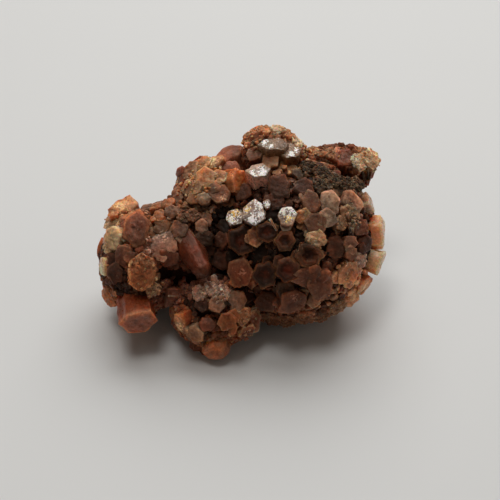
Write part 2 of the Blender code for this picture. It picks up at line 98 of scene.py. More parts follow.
# Finishes: colours of the middle, face, rim, side and root of a crystal as they look in soft light, and what
# differs from the plain shape. The rim colour, mostly lighter, is a painted highlight along the edge of the
# end face, and the darker root colour is painted shade where the crystals go down between each other.
finishes = {
    # pale grey end faces: painted reflection of the lamp and the pale surroundings
    "glint": (
        "#86756a #807064 #9c8a7a #7c4e3e #4c2a1e",
        {**glintShape, "tilt": 0.03, "edge": 0.02, "shade": 0.4},
    ),
    "mauve": ("#492d22 #513427 #593c2c #41281c #24130c", {}),
    "mauveLight": ("#705040 #785846 #82624c #5e402f #301b12", {"soft": 0.2}),
    "mauveDark": ("#47291c #4e3022 #5a3a29 #3a2217 #1c0e08", {}),
    "hexDark": ("#482010 #301c13 #5e402c #3a2216 #1c0e08", {**hexShape, "hollow": 0.2}),
    "hexBrown": ("#34160b #583724 #6e4e36 #482c1d #221109", {**hexShape, "hollow": 0.32}),
    "hexOrange": ("#824c34 #7a4832 #96684a #683c28 #2c160c", {"rough": 0.06, "soft": 0.15, "twins": 3}),
    "hexRed": ("#5a2412 #46281b #684632 #46291a #221009", {**hexShape, "hollow": 0.2}),
    # near black: painted shade on crystals sunk deep between the others
    "deep": ("#190c08 #1d1008 #27180f #170b07 #0c0603", {}),
    "greyBrown": ("#3c271c #422d20 #4c3626 #362217 #1a0e07", {}),
    "redMauve": ("#643f2f #6a4533 #76503b #523326 #2c1710", {"rough": 0.06, "tilt": 0.25, "twins": 3}),
    "tan": ("#82604a #8c6a50 #98775a #72523c #3e2819", {"rough": 0.05}),
    "oliveTan": ("#9a826c #86705c #9a7e6a #745e4c #3e2c1f", {"soft": 0.35, "dome": 0.1, "twins": 1}),
    "roughOrange": ("#7e5640 #865e45 #a07a5a #684632 #341e13", {"rough": 0.09, "tilt": 0.2, "twins": 4}),
    "orangePlain": ("#a86c3e #a8683e #ac724e #9c603a #603420", {"look": "amber", "soft": 0.3, "twins": 1}),
    # side and root colours made lighter: painted light on a body that lies in shade
    "barrel": (
        "#825444 #8c5c4a #a47050 #7e4024 #6e361a",
        {"look": "amber", "soft": 0.2, "twins": 0, "tilt": 0.03, "bands": 0.006},
    ),
    "roundAmber": ("#906048 #8c5c40 #906448 #94603c #70421f", {"look": "amber", "soft": 0.6, "dome": 0.5}),
    "creamEnd": ("#b08a68 #aa8460 #a87850 #94583a #5a3018", {"look": "amber", "twins": 0, "rough": 0.05}),
    "longRed": (
        "#44261a #4c2b1b #542f20 #5e3120 #522815",
        {"look": "amber", "soft": 0.6, "twins": 0, "taper": 0.3, "dome": 0.6, "bulge": 0.06},
    ),
    "orange": ("#825030 #885636 #946444 #744428 #3c2010", {"look": "amber", "soft": 0.2}),
    "orangeCream": ("#d8ae86 #c49068 #c08c68 #9c6844 #522e16", {"look": "amber", "rough": 0.06}),
    "orangeRed": ("#6a4030 #74452f #7c503a #6a3c26 #341a0f", {"look": "amber", "soft": 0.25}),
    "honey": ("#9c7050 #a67a58 #b08a66 #8a5e3c #462a16", {"look": "amber", "rough": 0.05}),
    "smoothRed": ("#80523e #845644 #885a44 #74472f #3c2012", {"soft": 0.5, "dome": 0.25, "twins": 1}),
    "pinkTan": ("#82614e #8a6954 #92735c #705040 #3a2318", {"rough": 0.06}),
    "palePink": ("#a88270 #ae8a76 #b6907c #885e4c #463022", {"rough": 0.03, "dome": 0.15, "soft": 0.15}),
    "pinkCrust": ("#ae8270 #ba8c78 #ca9c86 #885e4c #4a3022", {**crustShape, "grains": 60}),
    "tanCrust": ("#805e48 #8c694f #98765a #6c4d38 #382316", {**crustShape, "grains": 60}),
    "orangeCrust": (
        "#a86e4c #b07856 #c08e6c #8c583c #4a2812",
        {**crustShape, "grains": 85, "grainSize": 0.27},
    ),
    "redCrust": (
        "#80553d #886044 #967056 #6c442e #3a2111",
        {**crustShape, "grains": 85, "grainSize": 0.27},
    ),
    "creamCrust": (
        "#cca080 #d4aa8c #deb898 #a87858 #523a24",
        {**crustShape, "grains": 80, "grainSize": 0.28},
    ),
    "oliveCrust": (
        "#30241a #4a3a2b #685642 #36261c #190f09",
        {"look": "crust", "rough": 0.16, "grains": 80, "grainSize": 0.3},
    ),
    "brownCrust": ("#6a4632 #745139 #85604a #593928 #2c180b", {**crustShape, "grains": 50}),
    "oliveCream": (
        "#b49070 #ba9878 #c4a484 #8c684a #44301e",
        {**crustShape, "grains": 24, "grainSize": 0.3},
    ),
    # pale end face as on glint, a painted reflection; the very light side and root colours are painted light
    # on the shaded underside of its body
    "glintRed": (
        "#a8968a #a08e80 #b4a08c #f8b89c #f0ac90",
        {**glintShape, "tilt": 0.03, "edge": 0.02, "shade": 0.4, "twins": 0, "soft": 0.1},
    ),
    "glintTan": (
        "#846e58 #7a634e #7a644e #705032 #523824",
        {**glintShape, "tilt": 0.06, "edge": 0.03, "shade": 0.6, "twins": 1, "soft": 0.1},
    ),
    "roundMauve": (
        "#5e3c2e #744a37 #9a684a #804e34 #3c2012",
        {"soft": 0.45, "dome": 0.15, "rough": 0.06, "twins": 0},
    ),
    # side and root colours made lighter: painted light on a face that only the fill light reaches
    "cubeBrown": ("#725040 #774f3c #805642 #865a48 #7c5040", {"soft": 0.05, "twins": 1, "bands": 0.004}),
    # pale grey: on needleCube a painted highlight line
    "shard": ("#b4a898 #b4a898 #b4a898 #a89c8c #887868", {"twins": 0}),
    "creamBox": ("#c09a74 #b08058 #ac7c58 #8c5c3c #4a2812", {"look": "amber", "soft": 0.1, "rough": 0.05}),
    "paleOlive": ("#a8906e #b09876 #b89e7a #8c6e50 #4c3422", {"soft": 0.5, "rough": 0.07, "dome": 0.1}),
    "paleLump": ("#9a7c5e #a4866a #a88a6c #86684c #463020", {"soft": 0.3, "rough": 0.12, "grains": 12}),
    "honeyLump": (
        "#9a6844 #a4704c #aa7a56 #86583a #44260f",
        {"look": "amber", "soft": 0.4, "rough": 0.08, "dome": 0.15},
    ),
    "speckled": (
        "#825032 #925e3e #a87a56 #845236 #38200f",
        {**crustShape, "soft": 0.5, "dome": 0.2, "rough": 0.1, "twins": 0, "grains": 14, "grainSize": 0.28},
    ),
    "fan": ("#b07450 #b47a56 #c0906c #8c5636 #4a2814", {"look": "amber", "rough": 0.07, "soft": 0.15}),
    "paleEdge": (
        "#7c4a30 #84523a #b08c6c #7a4a32 #3c2012",
        {"look": "amber", "rough": 0.08, "soft": 0.1, "tilt": 0.2, "twins": 3, "grains": 12},
    ),
    "glassy": ("#c4a88c #c8ae94 #d0b89e #a88a6c #6e5038", {"look": "glass", "twins": 1}),
    "glassAmber": ("#ecc6a4 #e8c09c #e8c4a0 #dca880 #a87048", {"look": "glass", "twins": 0, "bands": 0.02}),
    "banded": ("#f0d0ac #eecca8 #e8c498 #e4b88a #b07a4c", {"look": "glass", "twins": 0, "bands": 0.05}),
}

# each crystal that shows from the camera: growth centre, photo x and y of its end face, width across corners,
# lean of its axis to the right and up (1 is flat in the picture), turn about its axis in degrees, how far it
# stands out of its centre's reach, finish
crystals = {
    "glintLeft": ("dome", 234, 217, 4.2, -0.12, 0.28, 10, 0.6, "glint"),
    "glintMiddle": ("dome", 254, 212, 5.3, -0.08, 0.28, 30, 1.0, "glint"),
    "glintSmall": ("dome", 267, 204, 1.9, -0.05, 0.30, 20, 0.6, "glint"),
    "glintRight": ("dome", 287, 215, 4.3, -0.05, 0.28, 5, 0.6, "glint"),
    "glintUpper": ("dome", 258, 170, 4.7, -0.05, 0.72, 0, 1.0, "glintRed"),
    "mauveA": ("dome", 280, 186, 5.0, -0.05, 0.40, 8, 0.3, "mauve"),
    "mauveB": ("dome", 304, 186, 4.4, 0.10, 0.38, 25, 0.6, "mauve"),
    "mauveBehind": ("dome", 243, 192, 3.8, -0.20, 0.35, 40, -0.8, "mauveDark"),
    "mauveBetween": ("dome", 277, 200, 3.8, 0.00, 0.35, 15, -0.6, "mauve"),
    "greyBetween": ("dome", 271, 212, 3.2, 0.00, 0.30, 35, -1.2, "deep"),
    "hexA": ("dome", 242, 240, 5.8, -0.12, 0.02, 20, 0.4, "hexDark"),
    "hexB": ("dome", 268, 231, 4.2, -0.03, 0.08, 30, 0.0, "hexDark"),
    "hexC": ("dome", 285, 241, 4.0, 0.00, 0.04, 0, 0.0, "hexBrown"),
    "hexD": ("dome", 310, 255, 5.4, 0.08, -0.10, 0, 0.8, "hexBrown"),
    "hexE": ("dome", 240, 273, 5.2, -0.15, -0.12, 12, 1.0, "hexOrange"),
    "hexF": ("dome", 264, 275, 5.2, -0.05, -0.10, 15, 0.8, "hexDark"),
    "hexG": ("dome", 287, 270, 5.0, 0.02, -0.10, 18, 0.6, "hexRed"),
    "roughA": ("dome", 255, 236, 3.6, 0.10, 0.10, 35, 0.2, "roughOrange"),
    "deepA": ("dome", 262, 253, 3.8, 0.00, 0.00, 10, -1.8, "deep"),
    "deepB": ("dome", 283, 254, 3.4, 0.00, 0.00, 40, -1.6, "deep"),
    "deepC": ("dome", 303, 240, 3.0, 0.05, 0.00, 22, -1.4, "deep"),
    "sideA": ("dome", 286, 290, 4.2, 0.00, -0.35, 0, 0.0, "greyBrown"),
    "obliqueA": ("dome", 305, 278, 5.0, 0.15, -0.35, 30, 0.6, "redMauve"),
    "obliqueB": ("dome", 322, 284, 6.2, 0.30, -0.45, 10, 0.8, "redMauve"),
    "obliqueC": ("dome", 294, 302, 6.0, 0.10, -0.50, 25, 1.0, "redMauve"),
    "lowDark": ("dome", 267, 302, 4.6, -0.08, -0.30, 0, 0.2, "mauveDark"),
    "lowSide": ("dome", 314, 302, 3.0, 0.25, -0.60, 10, 0.0, "tan"),
    "mauveC": ("dome", 311, 203, 4.4, 0.10, 0.25, 50, 0.6, "mauveLight"),
    "oliveA": ("dome", 331, 202, 4.7, 0.25, 0.22, 20, 0.9, "oliveTan"),
    "tanA": ("dome", 328, 218, 4.0, 0.22, 0.05, 35, 0.8, "oliveTan"),
    "brownA": ("dome", 315, 223, 4.4, 0.15, 0.08, 0, 0.4, "mauveLight"),
    "orangeA": ("dome", 303, 216, 3.0, 0.05, 0.15, 12, 0.2, "honey"),
    "creamStar": ("dome", 317, 239, 3.8, 0.15, 0.00, 28, 0.4, "paleLump"),
    "darkRight": ("dome", 336, 247, 4.4, 0.30, 0.00, 16, -1.0, "mauveDark"),
    "mauveD": ("dome", 351, 243, 3.2, 0.50, 0.10, 0, 0.4, "mauveLight"),
    "roundA": ("dome", 352, 254, 2.8, 0.45, -0.10, 30, 0.6, "mauveLight"),
    "crustRight": ("dome", 361, 261, 3.4, 0.62, -0.10, 15, 0.2, "pinkCrust"),
    "orangeB": ("dome", 351, 274, 5.2, 0.50, -0.32, 40, 0.8, "fan"),
    "brownB": ("dome", 353, 201, 5.0, 0.50, 0.30, 12, 0.4, "pinkTan"),
    "brownC": ("dome", 350, 214, 4.4, 0.48, 0.12, 35, 0.0, "tan"),
    "mauveE": ("dome", 360, 226, 4.4, 0.58, 0.05, 5, 0.2, "redMauve"),
    "grainA": ("dome", 341, 223, 3.0, 0.40, 0.05, 45, -0.4, "tanCrust"),
    "rimGlassy": ("dome", 371, 202, 4.2, 0.90, 0.36, 10, 0.0, "glassy"),
    "rimAmber": ("dome", 384, 232, 6.2, 0.98, 0.06, 0, 0.0, "glassAmber"),
    "rimMauve": ("dome", 366, 245, 4.0, 0.75, 0.00, 20, 0.0, "mauveDark"),
    "rimBanded": ("dome", 382, 264, 5.2, 0.93, -0.32, 20, 0.0, "banded"),
    "rimA": ("dome", 366, 286, 4.6, 0.78, -0.50, 0, 0.0, "orangeCream"),
    "rimB": ("dome", 353, 299, 4.8, 0.64, -0.62, 30, 0.0, "orangeCream"),
    "rimC": ("dome", 338, 308, 4.4, 0.48, -0.72, 12, 0.0, "tanCrust"),
    "rimD": ("dome", 323, 316, 4.4, 0.32, -0.80, 40, 0.0, "brownCrust"),
    "rimE": ("dome", 305, 319, 4.8, 0.12, -0.84, 25, 0.0, "brownCrust"),
    "rimF": ("dome", 286, 321, 5.0, -0.04, -0.86, 0, 0.0, "brownCrust"),
    "rimG": ("dome", 270, 320, 4.6, -0.15, -0.84, 20, 0.0, "brownCrust"),
    "patchA": ("dome", 309, 166, 3.2, 0.10, 0.60, 10, 0.0, "oliveCrust"),
    "patchB": ("dome", 322, 171, 3.4, 0.22, 0.55, 30, 0.2, "oliveCrust"),
    "patchC": ("dome", 334, 179, 3.6, 0.32, 0.48, 50, 0.0, "oliveCrust"),
    "patchD": ("dome", 320, 185, 3.2, 0.22, 0.42, 20, 0.0, "oliveCrust"),
    "patchE": ("dome", 347, 184, 3.4, 0.45, 0.42, 5, 0.2, "oliveCrust"),
    "patchF": ("dome", 359, 183, 3.4, 0.60, 0.45, 40, -0.4, "oliveCrust"),
    "darkA": ("dome", 209, 214, 4.8, -0.20, 0.22, 25, 0.0, "mauveDark"),
    "darkB": ("dome", 221, 239, 3.8, -0.30, 0.05, 45, 0.0, "mauveDark"),
    "darkC": ("neck", 204, 238, 4.0, 0.10, 0.10, 10, 0.4, "greyBrown"),
    "darkD": ("dome", 221, 260, 4.2, -0.28, -0.08, 30, 0.4, "mauve"),
    "darkE": ("dome", 233, 258, 3.6, -0.20, -0.05, 0, -1.4, "deep"),
    "darkF": ("dome", 225, 226, 3.4, -0.25, 0.15, 15, -1.2, "deep"),
    "pinkSmall": ("neck", 202, 226, 3.0, 0.05, 0.20, 25, 0.6, "pinkTan"),
    "smoothTop": ("shoulder", 227, 148, 6.8, -0.38, 0.84, 12, 2.0, "smoothRed"),
    "smoothSide": ("shoulder", 231, 168, 4.6, 0.00, 0.45, 0, 0.4, "smoothRed"),
    "orangeSlope": ("shoulder", 241, 181, 5.4, 0.66, 0.12, 50, 2.4, "orangePlain"),
    "slopeA": ("shoulder", 179, 179, 4.4, -0.72, 0.42, 0, 0.0, "orangeRed"),
    "slopeB": ("shoulder", 190, 170, 4.6, -0.58, 0.58, 30, 0.2, "tan"),
    "slopeC": ("shoulder", 201, 163, 4.6, -0.42, 0.68, 10, 0.2, "honey"),
    "slopeD": ("shoulder", 213, 161, 4.4, -0.28, 0.70, 45, 0.4, "creamEnd"),
    "slopeE": ("shoulder", 204, 177, 4.8, -0.35, 0.50, 20, 0.8, "honey"),
    "slopeF": ("shoulder", 190, 186, 4.4, -0.52, 0.32, 5, 0.2, "tan"),
    "slopeG": ("shoulder", 217, 177, 4.2, -0.15, 0.50, 33, 0.6, "honey"),
    "slopeMauve": ("shoulder", 219, 193, 4.2, -0.10, 0.25, 15, 0.6, "mauveLight"),
    "slopeSmallA": ("shoulder", 193, 198, 2.8, -0.30, 0.20, 0, 0.8, "tan"),
    "slopeSmallB": ("shoulder", 203, 198, 3.0, -0.20, 0.20, 20, 0.8, "oliveTan"),
    "slopeLow": ("shoulder", 176, 195, 4.0, -0.60, 0.25, 28, 0.0, "pinkTan"),
    "saddleA": ("neck", 147, 207, 2.8, -0.30, 0.70, 0, 0.0, "pinkTan"),
    "saddleB": ("neck", 157, 204, 3.0, -0.25, 0.75, 20, 0.2, "honeyLump"),
    "saddleC": ("neck", 167, 201, 3.2, -0.20, 0.75, 40, 0.4, "honeyLump"),
    "saddleD": ("neck", 159, 214, 3.2, -0.20, 0.60, 10, 0.4, "honeyLump"),
    "saddleE": ("neck", 172, 210, 3.4, -0.10, 0.60, 30, 0.6, "pinkTan"),
    "neckSmallA": ("neck", 183, 216, 2.8, 0.00, 0.40, 15, 0.8, "brownCrust"),
    "neckSmallB": ("neck", 193, 215, 2.8, 0.10, 0.40, 45, 0.8, "brownCrust"),
    "neckPurple": ("neck", 179, 228, 3.6, -0.05, 0.28, 0, 0.8, "mauveLight"),
    "neckTan": ("neck", 161, 226, 3.8, -0.20, 0.35, 25, 0.0, "tan"),
    "neckFace": ("neck", 185, 237, 3.8, 0.00, 0.40, 10, 0.6, "pinkTan"),
    "neckPale": ("neck", 160, 244, 6.0, -0.25, 0.20, 35, 1.2, "palePink"),
    "neckLong": ("neck", 207, 277, 5.6, 0.46, -0.76, 0, 6.0, "longRed"),
    "neckLump": ("neck", 168, 258, 4.2, -0.05, -0.25, 20, 1.4, "orangeRed"),
    "leftTop": ("left", 123, 205, 5.8, -0.25, 0.60, 10, 0.4, "creamBox"),
    "leftPink": ("left", 111, 220, 4.4, -0.70, 0.35, 30, 0.0, "paleLump"),
    "leftOlive": ("left", 111, 239, 4.8, -0.66, 0.08, 0, 0.0, "paleOlive"),
    "leftRound": ("left", 136, 227, 7.0, 0.00, 0.28, 20, 0.8, "roundMauve"),
    "leftDarkA": ("left", 121, 256, 4.6, -0.35, 0.00, 40, 0.0, "redMauve"),
    "leftEdge": ("left", 101, 266, 3.8, -0.90, 0.00, 10, 0.0, "glassAmber"),
    "leftDarkB": ("left", 114, 273, 4.0, -0.50, -0.15, 25, 0.0, "mauve"),
    "leftHex": ("left", 142, 274, 6.6, 0.03, -0.10, 30, 1.6, "speckled"),
    "leftCrust": ("left", 153, 290, 3.0, 0.25, -0.30, 0, 1.0, "tanCrust"),
    "leftLow": ("left", 107, 299, 5.0, -0.68, -0.35, 15, 0.4, "honeyLump"),
    "leftBarrel": ("left", 138, 324, 7.2, 0.10, -0.84, 0, 10.0, "barrel"),
    "footCube": ("foot", 164, 295, 5.2, -0.92, 0.05, 30, 2.0, "cubeBrown"),
    "footCream": ("foot", 179, 323, 4.2, -0.70, -0.40, 20, 1.6, "creamEnd"),
    "footPinkA": ("foot", 200, 292, 3.2, -0.10, 0.40, 0, 0.8, "pinkCrust"),
    "footPinkB": ("foot", 211, 289, 3.2, 0.00, 0.45, 25, 0.8, "pinkCrust"),
    "footPinkC": ("foot", 223, 292, 3.4, 0.15, 0.38, 10, 0.8, "pinkCrust"),
    "footPinkD": ("foot", 217, 304, 3.4, 0.05, 0.10, 40, 0.8, "pinkTan"),
    "footMauveA": ("foot", 202, 304, 3.2, -0.10, 0.10, 20, 0.0, "mauve"),
    "footTan": ("foot", 237, 301, 4.4, 0.25, 0.12, 5, 0.6, "pinkTan"),
    "footMauveB": ("foot", 248, 297, 3.0, 0.40, 0.20, 30, 0.0, "mauve"),
    "footRound": ("foot", 207, 325, 3.2, -0.05, -0.20, 0, 0.6, "smoothRed"),
    "footHex": ("foot", 227, 321, 4.2, 0.15, -0.20, 15, 1.2, "orange"),
    "footRoughA": ("foot", 243, 315, 4.0, 0.35, 0.00, 35, 0.6, "orangeCrust"),
    "footRoughB": ("foot", 254, 323, 4.4, 0.62, -0.25, 10, 0.8, "paleEdge"),
    "footRoughC": ("foot", 247, 332, 4.6, 0.52, -0.50, 50, 0.8, "paleEdge"),
    "footAmber": ("foot", 216, 359, 6.4, 0.05, -0.98, 0, 2.4, "roundAmber"),
    "footNeighbour": ("foot", 194, 335, 4.2, -0.35, -0.50, 28, 0.8, "tan"),
    "topFaceA": ("crown", 274, 143, 5.8, -0.05, 0.78, 5, 0.6, "glintTan"),
    "topFaceB": ("crown", 290, 150, 4.9, 0.08, 0.74, 20, 0.6, "glintTan"),
    "crownSmall": ("crown", 254, 153, 3.4, -0.25, 0.50, 0, 0.4, "mauveLight"),
    "crownBrown": ("crown", 270, 160, 3.8, -0.05, 0.40, 30, 0.4, "tan"),
    "crownAmber": ("crown", 289, 167, 3.8, 0.12, 0.40, 10, 0.4, "honey"),
    "crustA": ("crown", 247, 137, 3.2, -0.66, 0.60, 0, 0.0, "orangeCrust"),
    "crustB": ("crown", 255, 130, 3.4, -0.45, 0.76, 20, 0.0, "orangeCrust"),
    "crustC": ("crown", 266, 128, 3.4, -0.10, 0.88, 40, 0.0, "orangeCrust"),
    "crustD": ("crown", 278, 128, 3.4, 0.20, 0.86, 10, 0.0, "creamCrust"),
    "crustE": ("crown", 289, 133, 3.4, 0.50, 0.74, 30, 0.0, "orangeCrust"),
    "crustF": ("crown", 298, 141, 3.2, 0.70, 0.58, 0, 0.0, "creamCrust"),
    "ridgeA": ("ridge", 311, 151, 3.4, -0.30, 0.70, 20, 0.2, "orangeCrust"),
    "ridgeB": ("ridge", 323, 151, 3.4, -0.15, 0.78, 0, 0.2, "redCrust"),
    "ridgeC": ("ridge", 333, 153, 3.4, 0.00, 0.70, 35, 0.4, "redCrust"),
    "ridgeD": ("ridge", 345, 157, 4.8, 0.10, 0.55, 10, 0.6, "orangeRed"),
    "ridgeE": ("ridge", 360, 161, 3.8, 0.30, 0.50, 25, 0.6, "creamCrust"),
    "ridgeTip": ("ridge", 372, 157, 4.8, 0.70, 0.40, 40, 0.4, "oliveCream"),
    "ridgeFlap": ("ridge", 368, 175, 3.6, 0.50, -0.45, 0, 0.6, "orangeRed"),
}

# painted highlights on the glittering faces: photo x and y of a spot, its size, and how golden it is
paintedGlintSpots = {
    "glintLeft": ((231, 220, 5.5, 0.25), (235, 213, 4.5, 0.9)),
    "glintMiddle": ((259, 204, 6.0, 0.0), (252, 220, 6.0, 0.1), (247, 209, 3.5, 1.0), (261, 214, 4.0, 0.0)),
    "glintSmall": ((267, 204, 3.0, 0.0),),
    "glintRight": ((292, 209, 5.5, 0.0), (283, 211, 4.5, 0.2), (289, 218, 4.0, 0.7)),
    "glintUpper": ((252, 174, 3.5, 0.0), (262, 172, 4.5, 0.0), (257, 177, 3.5, 0.2)),
    "topFaceA": ((264, 141, 3.2, 0.1), (271, 146, 2.0, 0.0)),
    "topFaceB": ((291, 154, 3.2, 0.1), (296, 150, 2.0, 0.0)),
}

# painted highlights: small bright spots on the other crystals, in the same form
paintedSparks = (
    (293, 184, 3.0, 0.0),
    (291, 190, 2.5, 0.0),
    (297, 201, 2.5, 0.0),
    (298, 248, 3.0, 0.0),
    (321, 206, 2.5, 0.0),
    (243, 146, 3.5, 0.3),
    (253, 137, 2.5, 0.3),
    (190, 180, 4.0, 0.6),
    (223, 198, 3.0, 0.0),
    (223, 181, 2.5, 0.3),
    (226, 178, 2.5, 0.3),
    (230, 174, 2.5, 0.3),
    (129, 270, 4.0, 0.2),
    (163, 235, 4.0, 0.0),
    (205, 343, 3.0, 0.0),
    (118, 204, 4.5, 0.3),
    (122, 209, 4.0, 0.0),
    (215, 160, 4.0, 0.5),
    (350, 228, 2.5, 0.0),
    (295, 299, 3.0, 0.0),
    (242, 272, 3.0, 0.0),
    (254, 336, 3.0, 0.4),
    (180, 327, 4.0, 0.5),
    (153, 300, 3.0, 0.0),
    (345, 262, 3.0, 0.3),
    (107, 260, 3.0, 0.2),
    (205, 290, 3.5, 0.0),
    (222, 288, 3.5, 0.0),
    (212, 284, 2.5, 0.0),
    (336, 150, 3.0, 0.2),
    (318, 147, 3.0, 0.2),
    (376, 154, 3.0, 0.2),
)

# slender crystals that lie in the picture: centre, photo x and y of the end, width, lean to the right and up,
# how far they stand out, length, finish
needles = {
    "needleDome": ("dome", 270, 219, 0.50, -0.50, 0.84, 0.9, 2.7, "shard"),
    # a pale sliver that is a painted highlight line along the face of footCube
    "needleCube": ("foot", 168, 296, 0.36, -0.98, 0.03, 4.95, 2.1, "shard"),
}

# sprays of slender crystals: centre, photo x and y they spread from, how far out in photo units, angles of
# the spray in degrees, count, lean in the picture, width, length, how far they stand out, finishes
sprays = {
    "slopeSpray": ("shoulder", (212, 208), (18, 46), (78, 160), 80, 0.90, (0.5, 1.0), (4.5, 7.0), 0.9,
                   ("honey", "creamEnd", "tan", "honeyLump", "pinkTan", "orangeCream")),
    "tipSpray": ("ridge", (366, 184), (12, 30), (68, 112), 30, 0.85, (0.5, 0.9), (3.0, 4.5), 0.7,
                 ("paleOlive", "creamEnd", "paleOlive", "orangeCream")),
    "crownSpray": ("crown", (264, 154), (10, 26), (105, 165), 26, 0.88, (0.45, 0.85), (3.0, 4.5), 0.6,
                   ("honey", "orangeRed", "creamEnd")),
    "crownSlopeSpray": ("crown", (299, 160), (6, 17), (38, 84), 26, 0.85, (0.6, 1.3), (3.0, 5.0), 0.5,
                        ("orangeRed", "honey", "tan", "creamEnd")),
    "footSpray": ("foot", (226, 304), (5, 26), (100, 175), 34, 0.85, (0.5, 0.9), (2.4, 4.0), 1.5,
                  ("palePink", "pinkTan", "palePink", "pinkCrust")),
    "rightSpray": ("dome", (341, 286), (9, 26), (10, 70), 26, 0.85, (0.5, 0.9), (3.0, 4.5), 0.7,
                   ("fan", "orangeCream", "fan", "honey")),
    "edgeSpray": ("dome", (352, 244), (16, 46), (70, 100), 44, 0.90, (0.5, 1.1), (4.0, 6.0), 0.2,
                  ("mauveLight", "tan", "pinkTan", "mauveLight", "tan")),
}
# how far each crystal of a spray strays in lean, and in angle in radians
sprayWobble = {"lean": 0.09, "angle": 0.2, "seed": 6}

# crystals that point down and carry the cluster: x and y of the end, width
stands = {
    "standDome": (14.0, 8.0, 7.0),
    "standLeft": (-20.0, 1.0, 6.0),
    "standFoot": (-7.0, -13.5, 6.0),
}
standShape = {"length": 11.0, "spare": 0.4}  # spare is the part below the floor, pressed flat onto it

# how light the crystals over each centre are
centreTone = {
    "dome": 0.96,
    "left": 1.0,
    "neck": 0.75,
    "shoulder": 1.0,
    "foot": 0.87,
    "crown": 1.0,
    "ridge": 1.02,
    "bridge": 0.82,
}

# end faces that aren't as wide as high: how far they are drawn out across and up
drawnOut = {
    "leftBarrel": (1.16, 1.0),
    "leftRound": (0.80, 1.14),
    "leftHex": (0.94, 1.15),
    "neckPale": (1.15, 1.1),
    "neckLong": (1.16, 1.0),
    "footAmber": (1.04, 1.0),
    "rimAmber": (1.22, 1.18),
    "rimBanded": (1.1, 1.0),
    "topFaceA": (1.0, 0.64),
    "topFaceB": (1.1, 0.85),
    "hexE": (0.92, 1.12),
    "creamStar": (1.1, 0.9),
    "leftOlive": (1.0, 1.15),
}

prismShape = {"rootShare": 0.45, "baseShare": 0.86}  # depth of the root and its width, as shares

# hidden crystals: width over each centre, and how they spread
fillWidth = {
    "dome": 5.8,
    "left": 5.4,
    "neck": 5.4,
    "shoulder": 5.6,
    "foot": 5.0,
    "crown": 4.2,
    "ridge": 3.8,
    "bridge": 4.8,
}
fill = {
    "sizes": (0.80, 1.15),
    "reach": (0.90, 1.00),
    "wobble": 0.12,
    "cell": 0.75,
    "apart": 0.42,
    "facing": 0.5,
    "otherReach": 0.96,
    "longest": 1.5,  # as a share of the centre's least reach
    "low": {"ridge": 0.84},  # centres whose hidden crystals end lower, as a share of the reach above
    "seed": 7,
    "pickSeed": 11,
}

# finishes of the hidden and the small crystals over each centre
fillFinishes = {
    "dome": ("mauve", "mauve", "redMauve", "tan", "hexRed", "hexOrange", "mauveLight", "honey"),
    "left": ("tan", "honey", "orange", "mauve", "smoothRed", "pinkTan"),
    "neck": ("tan", "pinkTan", "mauve", "orangeRed", "hexOrange"),
    "shoulder": ("honey", "tan", "orangeRed", "pinkTan", "mauveLight", "orange"),
    "foot": ("orange", "pinkTan", "hexOrange", "orangeRed", "mauve"),
    "crown": ("tan", "honey", "hexOrange", "mauveLight"),
    "ridge": ("orangeRed", "honey", "tan"),
    "bridge": ("mauve", "hexOrange", "pinkTan"),
}
# the small crystals in the gaps take these finishes; deep, near black, is painted shade between the large
# ones
gapFinishes = {
    "dome": ("deep", "mauveDark", "mauve", "greyBrown", "hexRed"),
    "left": ("mauve", "mauveDark", "smoothRed", "tan"),
    "neck": ("mauve", "greyBrown", "mauveDark", "tan"),
    "shoulder": ("tan", "honey", "pinkTan", "mauve"),
    "foot": ("hexOrange", "mauve", "smoothRed", "pinkTan"),
    "crown": ("tan", "mauve", "hexOrange"),
    "ridge": ("redCrust", "orangeRed", "brownCrust"),
    "bridge": ("mauveDark", "mauve", "greyBrown"),
}


def linearColour(text):
    # sRGB hex to linear light: the low end is a straight line, the rest a power curve
    part = np.array([int(text[i:i + 2], 16) / 255 for i in (1, 3, 5)])
    return np.where(part <= 0.04045, part / 12.92, ((part + 0.055) / 1.055) ** 2.4)


def smooth(value, low, high):
    # eased step from 0 at low to 1 at high
    t = np.clip((value - low) / (high - low), 0, 1)
    return t * t * (3 - 2 * t)


def unit(vectors):
    return vectors / np.linalg.norm(vectors, axis=-1, keepdims=True)


def ripple(points, size, seed):
    # lumps of about the given size: six sine waves along random directions, added; mostly within -1 to 1
    chance = np.random.default_rng(seed)
    directions = unit(chance.normal(size=(6, 3))) * chance.uniform(0.7, 1.5, (6, 1)) * 2 * math.pi / size
    phases = chance.uniform(0, 2 * math.pi, 6)
    return np.sin(points @ directions.T + phases).sum(axis=-1) / 4


def sightLines(photoX, photoY):
    # unit vectors from the camera through places in the photo
    right = np.multiply.outer((photoX - view["frameCentre"]) / view["perMm"], viewRight)
    up = np.multiply.outer((view["frameCentre"] - photoY) / view["perMm"], viewUp)
    return unit(viewAhead * view["distance"] + right + up)


def inPhoto(points):
    # perspective projection: photo x, photo y and distance ahead of the camera
    away = points - cameraPlace
    ahead = away @ viewAhead
    scale = view["distance"] * view["perMm"] / ahead
    photoX = view["frameCentre"] + away @ viewRight * scale
    photoY = view["frameCentre"] - away @ viewUp * scale
    return np.stack([photoX, photoY, ahead], axis=-1)


def middleOf(centre):
    photoX, photoY, depth, _ = centres[centre]
    line = sightLines(photoX, photoY)
    return cameraPlace + line * (depth - cameraPlace[1]) / line[1]


def reachOf(centre):
    return np.array(centres[centre][3])


def areaOf(reach):
    # surface of a ball with the ellipsoid's mean reach
    return 4 * math.pi * (reach.sum() / 3) ** 2


